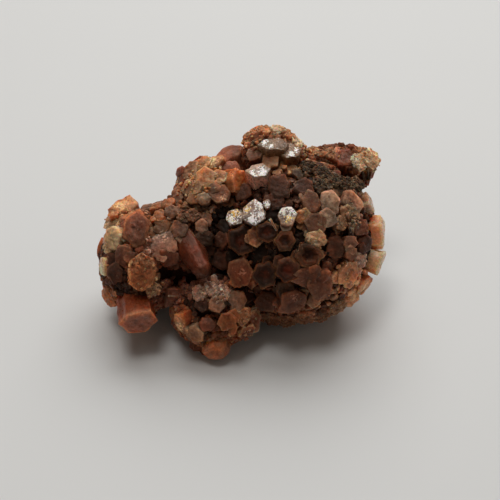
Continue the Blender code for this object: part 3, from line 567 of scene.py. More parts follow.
def surfacePoint(centre, photoX, photoY):
    # Where a line of sight first meets a centre's ellipsoid, or passes nearest to it. In lengths of the reach
    # the ellipsoid is a unit ball, and the place follows from a quadratic.
    reach = reachOf(centre)
    start = (cameraPlace - middleOf(centre)) / reach
    line = sightLines(photoX, photoY)
    step = line / reach
    nearest = -start @ step / (step @ step)
    miss = np.sum((start + step * nearest) ** 2)
    back = math.sqrt(max(0.0, 1.0 - miss) / (step @ step))
    return cameraPlace + line * (nearest - back)


def frontPoint(centre, photoX, photoY, standOut):
    # the same place, moved towards the camera
    return surfacePoint(centre, photoX, photoY) - sightLines(photoX, photoY) * standOut


def leaning(right, up):
    # unit direction that leans to the picture's right and up, and for the rest faces the camera
    towards = math.sqrt(max(0.0, 1.0 - right * right - up * up))
    return viewRight * right + viewUp * up - viewAhead * towards


def finishOf(name):
    # the five colours, and the shape with the plain values filled in
    colours, shape = finishes[name]
    return colours.split(), {**plainShape, **shape}


def lookOf(row):
    return finishOf(row["finish"])[1]["look"]


def crystalRow(name, centre, end, axis, width, turn, finish, length):
    return {
        "name": name,
        "centre": centre,
        "end": np.array(end, float),
        "axis": unit(np.array(axis, float)),
        "width": width,
        "turn": turn,
        "finish": finish,
        "length": length,
    }


def rootLength(centre, width):
    return prismShape["rootShare"] * max(centres[centre][3]) + width


def anyRoll(chance):
    # a turn about the axis; a sixth of a circle covers them all
    return chance.uniform(0, math.pi / 3)


def anyVector(chance):
    return np.array([chance.uniform(-1, 1) for _ in range(3)])


def listedCrystals():
    rows = []
    for name, (centre, photoX, photoY, width, right, up, turn, standOut, finish) in crystals.items():
        end = frontPoint(centre, photoX, photoY, standOut)
        length = rootLength(centre, width)
        turn = math.radians(turn)
        rows.append(crystalRow(name, centre, end, leaning(right, up), width, turn, finish, length))
    return rows


def loosen(rows):
    # each crystal leans a little its own way, and is a little wider than its prism, so that neighbours meet
    chance = random.Random(growth["seed"])
    for row in rows:
        lean = anyVector(chance) * growth["lean"]
        row["end"] = row["end"] - sightLines(*inPhoto(row["end"])[:2]) * nearer.get(row["name"], 0.0)
        if row["name"] in turned:
            row["axis"] = leaning(*turned[row["name"]])
        if row["name"] not in clearSides and row["finish"] != "glint":
            row["axis"] = unit(row["axis"] + lean)
            row["width"] *= growth["widen"]


def needleCrystals():
    rows = []
    for name, (centre, photoX, photoY, width, right, up, standOut, length, finish) in needles.items():
        end = frontPoint(centre, photoX, photoY, standOut)
        rows.append(crystalRow(name, centre, end, leaning(right, up), width, 0.0, finish, length))
    return rows


def sprayCrystals():
    chance = random.Random(sprayWobble["seed"])
    rows = []
    for name, (centre, root, away, angles, count, lean, widths, lengths, standOut, looks) in sprays.items():
        for _ in range(count):
            angle = math.radians(chance.uniform(*angles))
            reach = chance.uniform(*away)
            photoX = root[0] + reach * math.cos(angle)
            photoY = root[1] - reach * math.sin(angle)
            tilt = lean + chance.uniform(-sprayWobble["lean"], sprayWobble["lean"])
            end = frontPoint(centre, photoX, photoY, standOut * chance.uniform(0, 1))
            spread = angle + chance.uniform(-sprayWobble["angle"], sprayWobble["angle"])
            axis = leaning(math.cos(spread) * tilt, math.sin(spread) * tilt)
            width = chance.uniform(*widths)
            length = chance.uniform(*lengths)
            roll = anyRoll(chance)
            rows.append(crystalRow(name, centre, end, axis, width, roll, chance.choice(looks), length))
    return rows


def standCrystals():
    rows = []
    for name, (x, y, width) in stands.items():
        end = (x, y, -standShape["spare"])
        rows.append(crystalRow(name, "dome", end, (0, 0, -1), width, 0.0, "mauve", standShape["length"]))
    return rows


def insideOther(point, centre, share):
    # whether a point is within a share of another centre's reach
    others = [other for other in centres if other != centre]
    return any(np.linalg.norm((point - middles[other]) / reachOf(other)) < share for other in others)


def spiralDirections(count):
    # evenly spread directions: equal steps in height, a golden angle apart
    i = np.arange(count)
    height = 1 - 2 * (i + 0.5) / count
    ring = np.sqrt(1 - height * height)
    golden = math.pi * (3 - math.sqrt(5))
    return np.stack([ring * np.cos(golden * i), ring * np.sin(golden * i), height], axis=1)


def hiddenCrystals(taken):
    # the solid's own hidden prisms, at the same places
    chance = random.Random(fill["seed"])
    pick = random.Random(fill["pickSeed"])
    ends = [(row["end"], row["width"]) for row in taken]
    rows = []
    for centre, width in fillWidth.items():
        reach = reachOf(centre)
        for out in spiralDirections(int(areaOf(reach) / (fill["cell"] * width * width))):
            size = width * chance.uniform(*fill["sizes"])
            share = chance.uniform(*fill["reach"]) * fill["low"].get(centre, 1.0)
            end = middles[centre] + reach * out * share
            wobble = anyVector(chance) * fill["wobble"]
            roll = anyRoll(chance)
            crowded = any(np.linalg.norm(end - other) < fill["apart"] * (size + wide) for other, wide in ends)
            facesCamera = out @ viewAhead < -fill["facing"]
            if crowded or facesCamera or insideOther(end, centre, fill["otherReach"]):
                continue
            finish = pick.choice(fillFinishes[centre])
            length = min(rootLength(centre, size), fill["longest"] * reach.min())
            rows.append(crystalRow("hidden", centre, end, out + wobble, size, roll, finish, length))
            ends.append((end, size))
    return rows


# crystals that lean another way than their prism: lean to the right and up
turned = {"leftBarrel": (0.16, -0.68), "footAmber": (0.02, -0.93)}
growth = {"lean": 0.12, "widen": 1.09, "seed": 5}
# crystals moved towards the camera
nearer = {"glintUpper": 1.3, "glintMiddle": 0.5, "glintLeft": 0.4, "footCube": 0.4}

# crystals whose sides show: no small crystal grows in front of them; share of the length that stays clear
clearSides = {
    "leftBarrel": 0.85,
    "footAmber": 0.8,
    "neckLong": 0.9,
    "smoothTop": 0.6,
    "orangeSlope": 0.6,
    "glintUpper": 0.75,
    "footCube": 0.75,
    "footCream": 0.6,
    "rimAmber": 0.4,
    "rimBanded": 0.4,
}
clearRoom = {"steps": 5, "radius": 0.9, "size": 0.4, "behind": 1.0}


def clearDiscs(rows):
    # places along the crystals whose sides show: photo x, photo y, distance, radius in photo units
    discs = []
    for row in rows:
        if row["name"] not in clearSides:
            continue
        for step in np.linspace(0.0, clearSides[row["name"]], clearRoom["steps"] + 1)[1:]:
            place = inPhoto(row["end"] - row["axis"] * row["length"] * step)
            discs.append((*place, row["width"] / 2 * view["perMm"]))
    return np.array(discs)


def hidesClearSide(end, size, discs):
    x, y, ahead = inPhoto(end)
    room = discs[:, 3] * clearRoom["radius"] + size * clearRoom["size"] * view["perMm"]
    near = np.hypot(discs[:, 0] - x, discs[:, 1] - y) < room
    return bool(np.any(near & (ahead < discs[:, 2] + clearRoom["behind"])))


# dark holes between the crystals: photo x, y and radius
hollows = (
    (329, 229, 6),
    (124, 244, 6),
    (165, 273, 9),
    (177, 275, 9),
    (190, 278, 7),
    (205, 312, 6),
    (345, 171, 5),
    (262, 254, 6),
    (281, 254, 5),
)


def inHollow(point, centre):
    if (point - middles[centre]) @ viewAhead > 0:
        return False
    x, y = inPhoto(point)[:2]
    return any(math.hypot(x - holeX, y - holeY) < radius for holeX, holeY, radius in hollows)


def nearFinish(place, rows, reach=6.0):
    # the finish of the nearest large crystal that isn't glittering or clear, if one is near
    nearest = min(rows, key=lambda row: np.sum((row["end"] - place) ** 2))
    if np.linalg.norm(nearest["end"] - place) > reach or lookOf(nearest) in ("glint", "glass"):
        return None
    return nearest["finish"]


# small crystals in the gaps between the large ones
gap = {
    "cell": 1.5,  # area that each try takes up on its centre
    "width": (1.6, 3.4),
    "reach": (0.86, 0.955),
    "apart": 0.30,  # least distance between two ends, as a share of their widths added
    "wobble": 0.25,
    "length": 4.0,
    "likeNear": 0.75,  # share that looks like the nearest large crystal
    "seed": 23,
}
tiny = {
    "cell": 0.45,
    "width": (0.7, 1.7),
    "reach": (0.86, 0.97),
    "apart": 0.34,
    "wobble": 0.45,
    "length": 2.4,
    "likeNear": 0.85,
    "seed": 29,
}
gapLimits = {"widest": 0.4, "otherReach": 0.84}  # as shares of a centre's least reach, and of another's reach


def gapCrystals(taken, values):
    chance = random.Random(values["seed"])
    ends = np.array([row["end"] for row in taken])
    widths = np.array([row["width"] for row in taken])
    discs = clearDiscs(taken)
    rows = []
    for centre in centres:
        reach = reachOf(centre)
        for out in spiralDirections(int(areaOf(reach) / values["cell"])):
            size = chance.uniform(*values["width"])
            end = middles[centre] + reach * out * chance.uniform(*values["reach"])
            wobble = anyVector(chance) * values["wobble"]
            roll = anyRoll(chance)
            finish = chance.choice(gapFinishes[centre])
            likeNear = chance.random() < values["likeNear"]
            size = min(size, gapLimits["widest"] * reach.min())
            covered = insideOther(end, centre, gapLimits["otherReach"]) or inHollow(end, centre)
            if end[2] < 0 or covered or hidesClearSide(end, size, discs):
                continue
            if np.any(np.linalg.norm(ends - end, axis=1) < values["apart"] * (widths + size)):
                continue
            if likeNear:
                finish = nearFinish(end, listed) or finish
            rows.append(crystalRow("small", centre, end, out + wobble, size, roll, finish, values["length"]))
            ends = np.vstack([ends, end])
            widths = np.append(widths, size)
    return rows


# crystals round each one that carries the cluster, with ends at several heights
skirt = {
    "count": 9,
    "width": (0.4, 0.75),
    "offset": (0.7, 1.15),
    "rise": (0.2, 0.75),
    "lean": (0.05, 0.35),
    "length": 0.7,
    "finishes": ("mauve", "tan", "redMauve", "honey", "smoothRed", "hexOrange"),
    "seed": 37,
}


def skirtCrystals(rows):
    chance = random.Random(skirt["seed"])
    found = []
    for row in rows:
        for i in range(skirt["count"]):
            angle = 2 * math.pi * (i + chance.uniform(0, 0.6)) / skirt["count"]
            outward = np.array([math.cos(angle), math.sin(angle), 0.0])
            end = row["end"] + outward * row["width"] / 2 * chance.uniform(*skirt["offset"])
            end = end + np.array([0.0, 0.0, chance.uniform(*skirt["rise"]) * row["width"]])
            axis = row["axis"] + outward * chance.uniform(*skirt["lean"])
            width = row["width"] * chance.uniform(*skirt["width"])
            finish = chance.choice(skirt["finishes"])
            roll = anyRoll(chance)
            length = row["length"] * skirt["length"]
            found.append(crystalRow("skirt", row["centre"], end, axis, width, roll, finish, length))
    return found


# smaller crystals grown onto the sides of the large ones; offset is in radii, the rest in shares
twin = {
    "width": (0.35, 0.66),
    "offset": (0.40, 0.9),
    "drop": 0.38,
    "lean": 0.08,
    "length": 0.7,
    "behind": 0.2,  # least slope away from the camera on a crystal whose sides show
    "seed": 31,
}


def twinCrystals(rows):
    chance = random.Random(twin["seed"])
    found = []
    for row in rows:
        shape = finishOf(row["finish"])[1]
        for _ in range(shape["twins"]):
            side = sideOf(row["axis"])
            other = np.cross(row["axis"], side)
            angle = chance.uniform(0, 2 * math.pi)
            outward = side * math.cos(angle) + other * math.sin(angle)
            offset = row["width"] / 2 * chance.uniform(*twin["offset"])
            lower = row["width"] * chance.uniform(-shape["step"], twin["drop"])
            end = row["end"] + outward * offset - row["axis"] * lower
            if row["name"] in clearSides and outward @ viewAhead < twin["behind"]:
                continue
            axis = row["axis"] + outward * chance.uniform(0, twin["lean"])
            width = row["width"] * chance.uniform(*twin["width"])
            length = row["length"] * twin["length"]
            turn, finish = row["turn"], row["finish"]
            found.append(crystalRow("twin", row["centre"], end, axis, width, turn, finish, length))
    return found


def sideOf(axis):
    # the direction of a crystal's first corner: the camera's right, made square to the axis
    return unit(viewRight - axis * np.sum(axis * viewRight, axis=-1, keepdims=True))


def closedFaces(count, around, rings):
    # faces of closed tubes of a top point, rings of points and a foot point: quads between the rings and a
    # fan of triangles at each end
    column = np.arange(around)
    following = (column + 1) % around
    ring = np.arange(rings - 1)[:, None] * around + 1
    below = ring + around
    quads = np.stack([ring + column, below + column, below + following, ring + following], axis=2)
    last = 1 + (rings - 1) * around
    topFan = np.stack([np.zeros(around, int), 1 + column, 1 + following], axis=1)
    footFan = np.stack([np.full(around, last + around), last + following, last + column], axis=1)
    shiftBy = (np.arange(count) * (rings * around + 2))[:, None, None]
    parts = (quads.reshape(-1, 4), topFan, footFan)
    return [(faces[None] + shiftBy).reshape(-1, faces.shape[1]) for faces in parts]


# How finely the crystals are divided: points on each of the six sides, radii of the rings on the end face,
# rings down the sides, and how much closer these lie near the end.
largeGrid = {
    "perSide": 5,
    "cap": (0.16, 0.32, 0.47, 0.60, 0.72, 0.82, 0.90, 0.965),
    "sideRings": 9,
    "spread": 1.7,
}
smallGrid = {"perSide": 2, "cap": (0.55, 0.93), "sideRings": 3, "spread": 1.3}
tinyGrid = {"perSide": 1, "cap": (0.85,), "sideRings": 2, "spread": 1.2}

patternShift = (-40, 40)  # how far each crystal's texture coordinates are shifted, in mm

# how far the crystals stray from plain prisms; lengths are shares of the radius
stray = {
    "cornerTurn": 0.22,
    "cornerReach": (-0.2, 0.1),
    "cornerOut": 1.03,  # mean distance of the corners from the axis
    "round": 0.92,  # radius of the fully rounded outline
    "notch": 0.16,  # deepest notch in a side
    "notchWidth": 0.2,
    "stretch": 0.13,
    "rimDepth": 0.11,
    "waves": (4.2, 9.7, 0.6),  # growth bands: coarse and fine in radians a mm, strength of the fine ones
    "lumps": (1.1, 0.55),  # in mm
    "sideLumps": 0.6,
    "melt": (0.02, 0.045),  # least, and what an uneven outline adds
    "meltSize": 3.2,  # in mm
}
# where the end face changes, as shares of its radius
capSteps = {
    "hollow": (0.36, 0.60),
    "edge": (0.78, 1.0),
    "terrace": (0.74, 0.84),
    "face": (0.25, 0.55),
    "rim": (0.76, 0.94),
}
# where the sides change, as shares of the length, or of the width for the colours
sideSteps = {"tilt": (0, 0.5), "taper": (0, 0.55), "bulge": 1.6, "side": (0.04, 0.22), "root": (0.35, 1.5)}
# how much the colours differ
tintSpread = {
    "crystal": (0.85, 1.15),
    "sector": (0.86, 1.14),
    "shade": (0.12, 0.5),
    "least": 0.3,
    "red": 0.14,
    "redder": (1.0, -0.15, -1.0),
}


def prismOutlines(radius, turn, uneven, soft, corner, along, chance):
    # six corners joined by straight lines, each side with a notch, and partly rounded to a circle
    count = len(radius)
    cornerTurn = chance.uniform(-stray["cornerTurn"], stray["cornerTurn"], (count, 6))
    cornerAngle = turn[:, None] + np.arange(6) * math.pi / 3 + cornerTurn * uneven
    cornerOut = stray["cornerOut"] + chance.uniform(*stray["cornerReach"], (count, 6)) * uneven
    cornerReach = radius[:, None] * cornerOut
    corners = np.stack([np.cos(cornerAngle) * cornerReach, np.sin(cornerAngle) * cornerReach], axis=2)
    outline = corners[:, corner] * (1 - along)[:, None] + corners[:, (corner + 1) % 6] * along[:, None]
    angle = np.arctan2(outline[..., 1], outline[..., 0])
    circle = np.stack([np.cos(angle), np.sin(angle)], axis=2) * radius[:, None, None] * stray["round"]
    outline = outline * (1 - soft) + circle * soft
    notch = chance.uniform(0, 1, (count, 6)) ** 3 * stray["notch"]
    return outline * (1 - notch[:, corner] * np.exp(-((along - 0.5) / stray["notchWidth"]) ** 2))[..., None]


def prismTints(rows, across, shares, caps, deep, corner, shade, chance):
    # From the middle of the end face to its rim, then down to the root, five colours follow one another; the
    # lighter rim is a painted highlight and the darker root painted shade. Each crystal and each of its six
    # sides has its own lightness. It gets lighter one way, leaning towards the top of the picture as painted
    # light from above, and redder another way.
    count = len(rows)
    five = np.array([[linearColour(text) for text in finishOf(row["finish"])[0]] for row in rows])
    tone = np.array([centreTone[row["centre"]] for row in rows])[:, None, None]
    five = five * tone * chance.uniform(*tintSpread["crystal"], (count, 1, 1))
    middle, face, rim, sides, root = (five[:, i][:, None] for i in range(5))
    onCap = middle + (face - middle) * smooth(shares, *capSteps["face"])[None, :, None]
    # painted highlight: towards its edge the end face takes the rim colour, mostly lighter
    onCap = onCap + (rim - onCap) * smooth(shares, *capSteps["rim"])[None, :, None]
    onSide = rim + (sides - rim) * smooth(deep, *sideSteps["side"])[..., None]
    # painted shade: down the sides the colour darkens to the root colour
    onSide = onSide + (root - onSide) * smooth(deep, *sideSteps["root"])[..., None]
    tint = np.where(caps[None, :, None] > 0, onCap, onSide)
    sector = chance.uniform(*tintSpread["sector"], (count, 6))
    rings = (len(shares) - 2) // len(corner)
    ends = np.ones((count, 1))
    sector = np.concatenate([ends, np.tile(sector[:, corner], (1, rings)), ends], axis=1)
    # painted light from above: the lighter side is random but leans towards the top of the picture
    lightest = unit(chance.normal(size=(count, 2)) + np.array([0.0, 0.3]))
    reddest = unit(chance.normal(size=(count, 2)))
    shade = shade * chance.uniform(*tintSpread["shade"], (count, 1))
    lighter = np.sum(across * lightest[:, None], axis=2) * shade
    redder = np.sum(across * reddest[:, None], axis=2) * tintSpread["red"]
    tint = tint * (sector * np.maximum(1 + lighter, tintSpread["least"]))[..., None]
    return tint * (1 + redder[..., None] * np.array(tintSpread["redder"]))


def prismShine(rows, points):
    # How strongly each point is painted with a highlight, and how golden it is: the strongest of the spots,
    # each a bell curve of the distance in the photo.
    shine = np.zeros((*points.shape[:2], 2))
    for i, row in enumerate(rows):
        place = inPhoto(points[i] + np.array(view["shift"]))
        for x, y, size, gold in paintedGlintSpots.get(row["name"], paintedSparks):
            bell = np.exp(-((place[:, 0] - x) ** 2 + (place[:, 1] - y) ** 2) / size**2)
            shine[i, :, 1] = np.where(bell > shine[i, :, 0], gold, shine[i, :, 1])
            shine[i, :, 0] = np.maximum(shine[i, :, 0], bell)
    return shine


def prismSurfaces(rows, grid, seed):
    # Hexagonal prisms as one surface of two parameters: round the outline, and from the middle of the end
    # face out to its rim and down the sides. The end face is the outline shrunk, raised or sunk by corner
    # heights, a sunken middle, a step and lumps. The sides narrow towards the root and carry growth bands.
    chance = np.random.default_rng(seed)
    count = len(rows)
    shapes = [finishOf(row["finish"])[1] for row in rows]

    def shapeValues(key):
        return np.array([shape[key] for shape in shapes], float)[:, None, None]

    def rowValues(key):
        return np.array([row[key] for row in rows])

    axis = rowValues("axis")
    side = sideOf(axis)
    radius = rowValues("width") / 2
    length = rowValues("length")
    wide = radius[:, None, None]
    uneven = shapeValues("uneven")
    around = grid["perSide"] * 6
    corner = np.arange(around) // grid["perSide"]
    along = (np.arange(around) % grid["perSide"]) / grid["perSide"]
    soft = shapeValues("soft")
    outline = prismOutlines(radius, rowValues("turn"), uneven[:, 0], soft, corner, along, chance)

    # along the second parameter: share of the outline's width, end face or side, and share of the length
    capRings = len(grid["cap"])
    sideShare = (np.arange(grid["sideRings"] + 1) / grid["sideRings"]) ** grid["spread"]
    rings = capRings + len(sideShare)
    share = np.concatenate([grid["cap"], np.ones(len(sideShare))])[None, :, None]
    isCap = (np.arange(rings) < capRings).astype(float)[None, :, None]
    isSide = 1 - isCap
    depthShare = np.concatenate([np.zeros(capRings), sideShare])[None, :, None]
    depth = depthShare * length[:, None, None] + isSide * wide * stray["rimDepth"]

    cornerHeight = chance.uniform(-1, 1, (count, 6)) * radius[:, None] * shapeValues("tilt")[:, 0]
    height = cornerHeight[:, corner] * (1 - along) + cornerHeight[:, (corner + 1) % 6] * along
    relief = height[:, None, :] * np.where(isCap > 0, share, 1 - smooth(depthShare, *sideSteps["tilt"]))
    sunk = shapeValues("hollow") * (1 - smooth(share, *capSteps["hollow"])) + shapeValues("dome") * share**2
    for key in ("edge", "terrace"):
        sunk = sunk + shapeValues(key) * smooth(share, *capSteps[key])
    relief = relief - wide * (isCap * sunk + isSide * shapeValues("dome"))

    coarse, fine, fineShare = stray["waves"]
    phase = chance.uniform(0, 2 * math.pi, (count, 1, 1))
    waves = np.sin(depth * coarse + phase) + fineShare * np.sin(depth * fine + phase * 2)
    widen = 1 - (1 - prismShape["baseShare"]) * depthShare + isSide * shapeValues("bands") * waves
    widen = widen - shapeValues("taper") * (1 - smooth(depthShare, *sideSteps["taper"]))
    widen = widen + shapeValues("bulge") * np.sin(np.pi * np.clip(depthShare * sideSteps["bulge"], 0, 1))
    wider = chance.uniform(-stray["stretch"], stray["stretch"], (count, 1, 1)) * uneven
    stretch = 1 + wider * np.array([1, -1])
    for i, row in enumerate(rows):
        stretch[i] = drawnOut.get(row["name"], stretch[i])
    flat = (outline * stretch)[:, None] * (share * widen)[..., None]

    local = np.concatenate([flat, (relief - depth)[..., None]], axis=3)
    offset = chance.uniform(*patternShift, (count, 1, 1, 3))
    large, small = stray["lumps"]
    lump = ripple(local + offset, large, seed + 1) + 0.5 * ripple(local + offset, small, seed + 2)
    lump = lump * shapeValues("rough")
    local[..., 2] += lump * wide * isCap
    local[..., :2] *= (1 + isSide * lump * stray["sideLumps"])[..., None]
    melt = stray["melt"][0] + stray["melt"][1] * uneven
    local[..., :2] *= (1 + melt * ripple(local + offset, stray["meltSize"], seed + 3))[..., None]

    # the middle of the end face and the root close the surface
    ends = np.zeros((count, 2, 3))
    ends[..., 2] = local[..., 2][:, [0, -1]].mean(axis=2)
    local = np.concatenate([ends[:, :1], local.reshape(count, rings * around, 3), ends[:, 1:]], axis=1)
    turnTo = np.stack([side, np.cross(axis, side), axis], axis=1)
    points = (rowValues("end") - np.array(view["shift"]))[:, None] + np.einsum("nvi,nij->nvj", local, turnTo)
    points[..., 2] = np.maximum(points[..., 2], 0.0)

    shares = np.concatenate([[0], np.repeat(share, around), [1]])
    caps = np.concatenate([[1], np.repeat(isCap, around), [0]])
    onSides = np.repeat(depth[..., 0], around, axis=1)
    deep = np.concatenate([np.zeros((count, 1)), onSides, length[:, None]], axis=1) / (2 * radius[:, None])
    across = local[..., :2] / wide
    tint = prismTints(rows, across, shares, caps, deep, corner, shapeValues("shade")[:, 0], chance)
    shine = prismShine(rows, points)

    # texture coordinates: the crystal's own, turned about its axis so that lines run another way on each
    spin = chance.uniform(0, math.pi, (count, 1))
    spun = local.copy()
    spun[..., 0] = local[..., 0] * np.cos(spin) - local[..., 1] * np.sin(spin)
    spun[..., 1] = local[..., 0] * np.sin(spin) + local[..., 1] * np.cos(spin)
    return {
        "points": points.reshape(-1, 3),
        "faces": closedFaces(count, around, rings),
        "tint": tint.reshape(-1, 3),
        "grain": (spun + offset[:, 0]).reshape(-1, 3),
        "cap": np.tile(caps, count),
        "shine": shine[..., 0].ravel(),
        "gold": shine[..., 1].ravel(),
    }


# a grain: distance of its three rings from its line and their heights, as shares of its size
grainShape = {
    "rings": (0.66, 1.0, 0.78),
    "heights": (0.74, 0.1, -0.6),
    "spread": (0.78, 1.18),
    "uneven": 0.12,
    "lean": 0.45,
    "top": 0.08,
    "under": 0.8,  # how light its lower half is
}


def grainSurfaces(places, normals, sizes, tints, seed, tall=(0.8, 1.4)):
    # Small blocky grains: three rings of six points round a line, drawn in to a point at both ends,
    # each point pushed in or out a little.
    chance = np.random.default_rng(seed)
    count = len(places)
    lean = unit(normals + chance.normal(size=(count, 3)) * grainShape["lean"])
    side = unit(np.cross(lean, unit(chance.normal(size=(count, 3)))))
    angle = np.arange(6) * math.pi / 3
    spread = chance.uniform(*grainShape["spread"], (count, 3, 6))
    across = np.array(grainShape["rings"])[None, :, None] * spread
    z = np.array(grainShape["heights"])[None, :, None] * chance.uniform(*tall, (count, 1, 1))
    z = z + chance.uniform(-grainShape["uneven"], grainShape["uneven"], across.shape)
    local = np.stack([across * np.cos(angle), across * np.sin(angle), z], axis=3).reshape(count, 18, 3)
    ends = np.zeros((count, 2, 3))
    ends[:, 0, 2] = local[:, :6, 2].mean(axis=1) + grainShape["top"]
    ends[:, 1, 2] = -1.0
    local = np.concatenate([ends[:, :1], local, ends[:, 1:]], axis=1) * sizes[:, None, None]
    turnTo = np.stack([side, np.cross(lean, side), lean], axis=1)
    points = places[:, None] - np.array(view["shift"]) + np.einsum("nvi,nij->nvj", local, turnTo)
    points[..., 2] = np.maximum(points[..., 2], 0.0)
    tint = tints[:, None] * np.where(local[..., 2] > 0, 1.0, grainShape["under"])[..., None]
    offset = chance.uniform(*patternShift, (count, 1, 3))
    return {
        "points": points.reshape(-1, 3),
        "faces": closedFaces(count, 6, 3),
        "tint": tint.reshape(-1, 3),
        "grain": (local + offset).reshape(-1, 3),
        "cap": np.zeros(count * 20),
    }


# grains on the crusted crystals
crust = {
    "plainWidth": 3.4,  # crystal width in mm for which the finish gives the number of grains
    "far": 2.1,  # end of the walk from the middle of the end face (0) over the rim (1) down the sides
    "cap": 0.92,  # how far out they go on the end face, in radii
    "side": 0.86,  # how far out they are on the sides, in radii
    "down": 0.8,  # how far the second step of the walk goes down the sides, in widths
    "slope": 0.3,  # how far they lean out on the end face, and up on the sides
    "sizes": (0.4, 1.6),  # times the finish's grain size
    "sunk": 0.5,  # share of a grain's size that is inside the crystal
    "tones": (0.86, 1.14),
    "darker": 0.35,  # how much darker the lowest grains are
    "tall": (0.6, 1.1),  # how much taller than plain grains
}


def crustGrains(rows, seed):
    # grains on the end face and upper sides of each crusted crystal
    chance = np.random.default_rng(seed)
    places, normals, sizes, tints = [], [], [], []
    for row in rows:
        colours, shape = finishOf(row["finish"])
        count = int(shape["grains"] * (row["width"] / crust["plainWidth"]) ** 2)
        if count == 0:
            continue
        acrossBy, upBy = drawnOut.get(row["name"], (1.0, 1.0))
        side = sideOf(row["axis"])
        other = np.cross(row["axis"], side)
        angle = chance.uniform(0, 2 * math.pi, count)
        outward = side * np.cos(angle)[:, None] * acrossBy + other * np.sin(angle)[:, None] * upBy
        walk = chance.uniform(0, crust["far"], count)
        onCap = walk < 1
        reach = np.where(onCap, np.sqrt(walk) * crust["cap"], crust["side"]) * row["width"] / 2
        lower = shape["dome"] * row["width"] / 2
        depth = np.where(onCap, lower * walk, lower + (walk - 1) * row["width"] * crust["down"])
        slope = crust["slope"]
        normal = np.where(onCap[:, None], row["axis"] + outward * slope, outward + row["axis"] * slope)
        size = shape["grainSize"] * chance.uniform(*crust["sizes"], count)
        place = row["end"] + outward * reach[:, None] - row["axis"] * depth[:, None]
        places.append(place - normal * size[:, None] * crust["sunk"])
        normals.append(normal)
        sizes.append(size)
        five = np.array([linearColour(text) for text in colours])
        shade = five[chance.choice([0, 1, 2], count)] * chance.uniform(*crust["tones"], (count, 1))
        fade = np.where(onCap, 1.0, 1 - crust["darker"] * (walk - 1))[:, None]
        tints.append(shade * centreTone[row["centre"]] * fade)
    normals = unit(np.concatenate(normals))
    return np.concatenate(places), normals, np.concatenate(sizes), np.concatenate(tints)


# dark grains over the massive middle of each centre
coreGrain = {
    "size": (0.35, 0.95),  # in mm
    "cell": 0.62,  # area that each takes up
    "reach": 0.86,  # as a share of the centre's reach
    "otherReach": 0.8,  # share of another centre's reach that stays free of them
    "wobble": 0.03,
    "lowest": 0.2,  # least height in mm
    "tones": (0.5, 1.1),
    "seed": 47,
}
coreShape = {
    "share": 0.81,  # of the centre's reach
    "around": 96,
    "rings": 60,
    "lump": 0.04,
    "lumpSizes": (6.0, 2.6),  # in mm
    "seeds": (60, 80),
    # near black: painted shade that shows through the gaps between the crystals
    "colour": "#2c170e",
}


def coreGrains():
    chance = np.random.default_rng(coreGrain["seed"])
    places, normals, sizes, tints = [], [], [], []
    for centre in centres:
        reach = reachOf(centre)
        out = spiralDirections(int(areaOf(reach) * coreGrain["reach"] ** 2 / coreGrain["cell"]))
        out = unit(out + chance.normal(size=out.shape) * coreGrain["wobble"])
        place = middles[centre] + reach * out * coreGrain["reach"]
        keep = place[:, 2] > coreGrain["lowest"]
        share = coreGrain["otherReach"]
        covered = [insideOther(spot, centre, share) or inHollow(spot, centre) for spot in place]
        keep &= ~np.array(covered, bool)
        count = int(keep.sum())
        places.append(place[keep])
        normals.append(out[keep])
        sizes.append(chance.uniform(*coreGrain["size"], count))
        names = [nearFinish(spot, listed) or gapFinishes[centre][0] for spot in place[keep]]
        sides = np.array([linearColour(finishOf(name)[0][3]) for name in names])
        tints.append(sides * chance.uniform(*coreGrain["tones"], (count, 1)))
    return np.concatenate(places), np.concatenate(normals), np.concatenate(sizes), np.concatenate(tints)


def coreSurfaces():
    # ellipsoids on a grid of turn and height, closed at both poles, pushed in and out by two sizes of lumps
    around, rings = coreShape["around"], coreShape["rings"]
    turn = np.arange(around) * 2 * math.pi / around
    lift = math.pi * (np.arange(rings) + 1) / (rings + 1)
    ring = np.sin(lift)[:, None]
    height = np.cos(lift)[:, None] * np.ones(around)
    ball = np.stack([ring * np.cos(turn), ring * np.sin(turn), height], axis=2)
    ball = np.concatenate([[[0.0, 0.0, 1.0]], ball.reshape(-1, 3), [[0.0, 0.0, -1.0]]])
    large, small = coreShape["lumpSizes"]
    largeSeed, smallSeed = coreShape["seeds"]
    points = []
    for i, centre in enumerate(centres):
        place = ball * reachOf(centre) * coreShape["share"]
        lump = ripple(place, large, largeSeed + i) + 0.5 * ripple(place, small, smallSeed + i)
        place = place * (1 + coreShape["lump"] * lump)[:, None]
        points.append(middles[centre] - np.array(view["shift"]) + place)
    points = np.concatenate(points)
    points[:, 2] = np.maximum(points[:, 2], 0.0)
    return {
        "points": points,
        "faces": closedFaces(len(centres), around, rings),
        "tint": np.tile(linearColour(coreShape["colour"]), (len(points), 1)),
        "grain": points.copy(),
        "cap": np.zeros(len(points)),
    }


# from how a colour looks in the soft light to the stone's own colour
tintGain = np.array([1.26, 1.19, 1.17])
tintPower = 1.10
tintLimit = 0.95


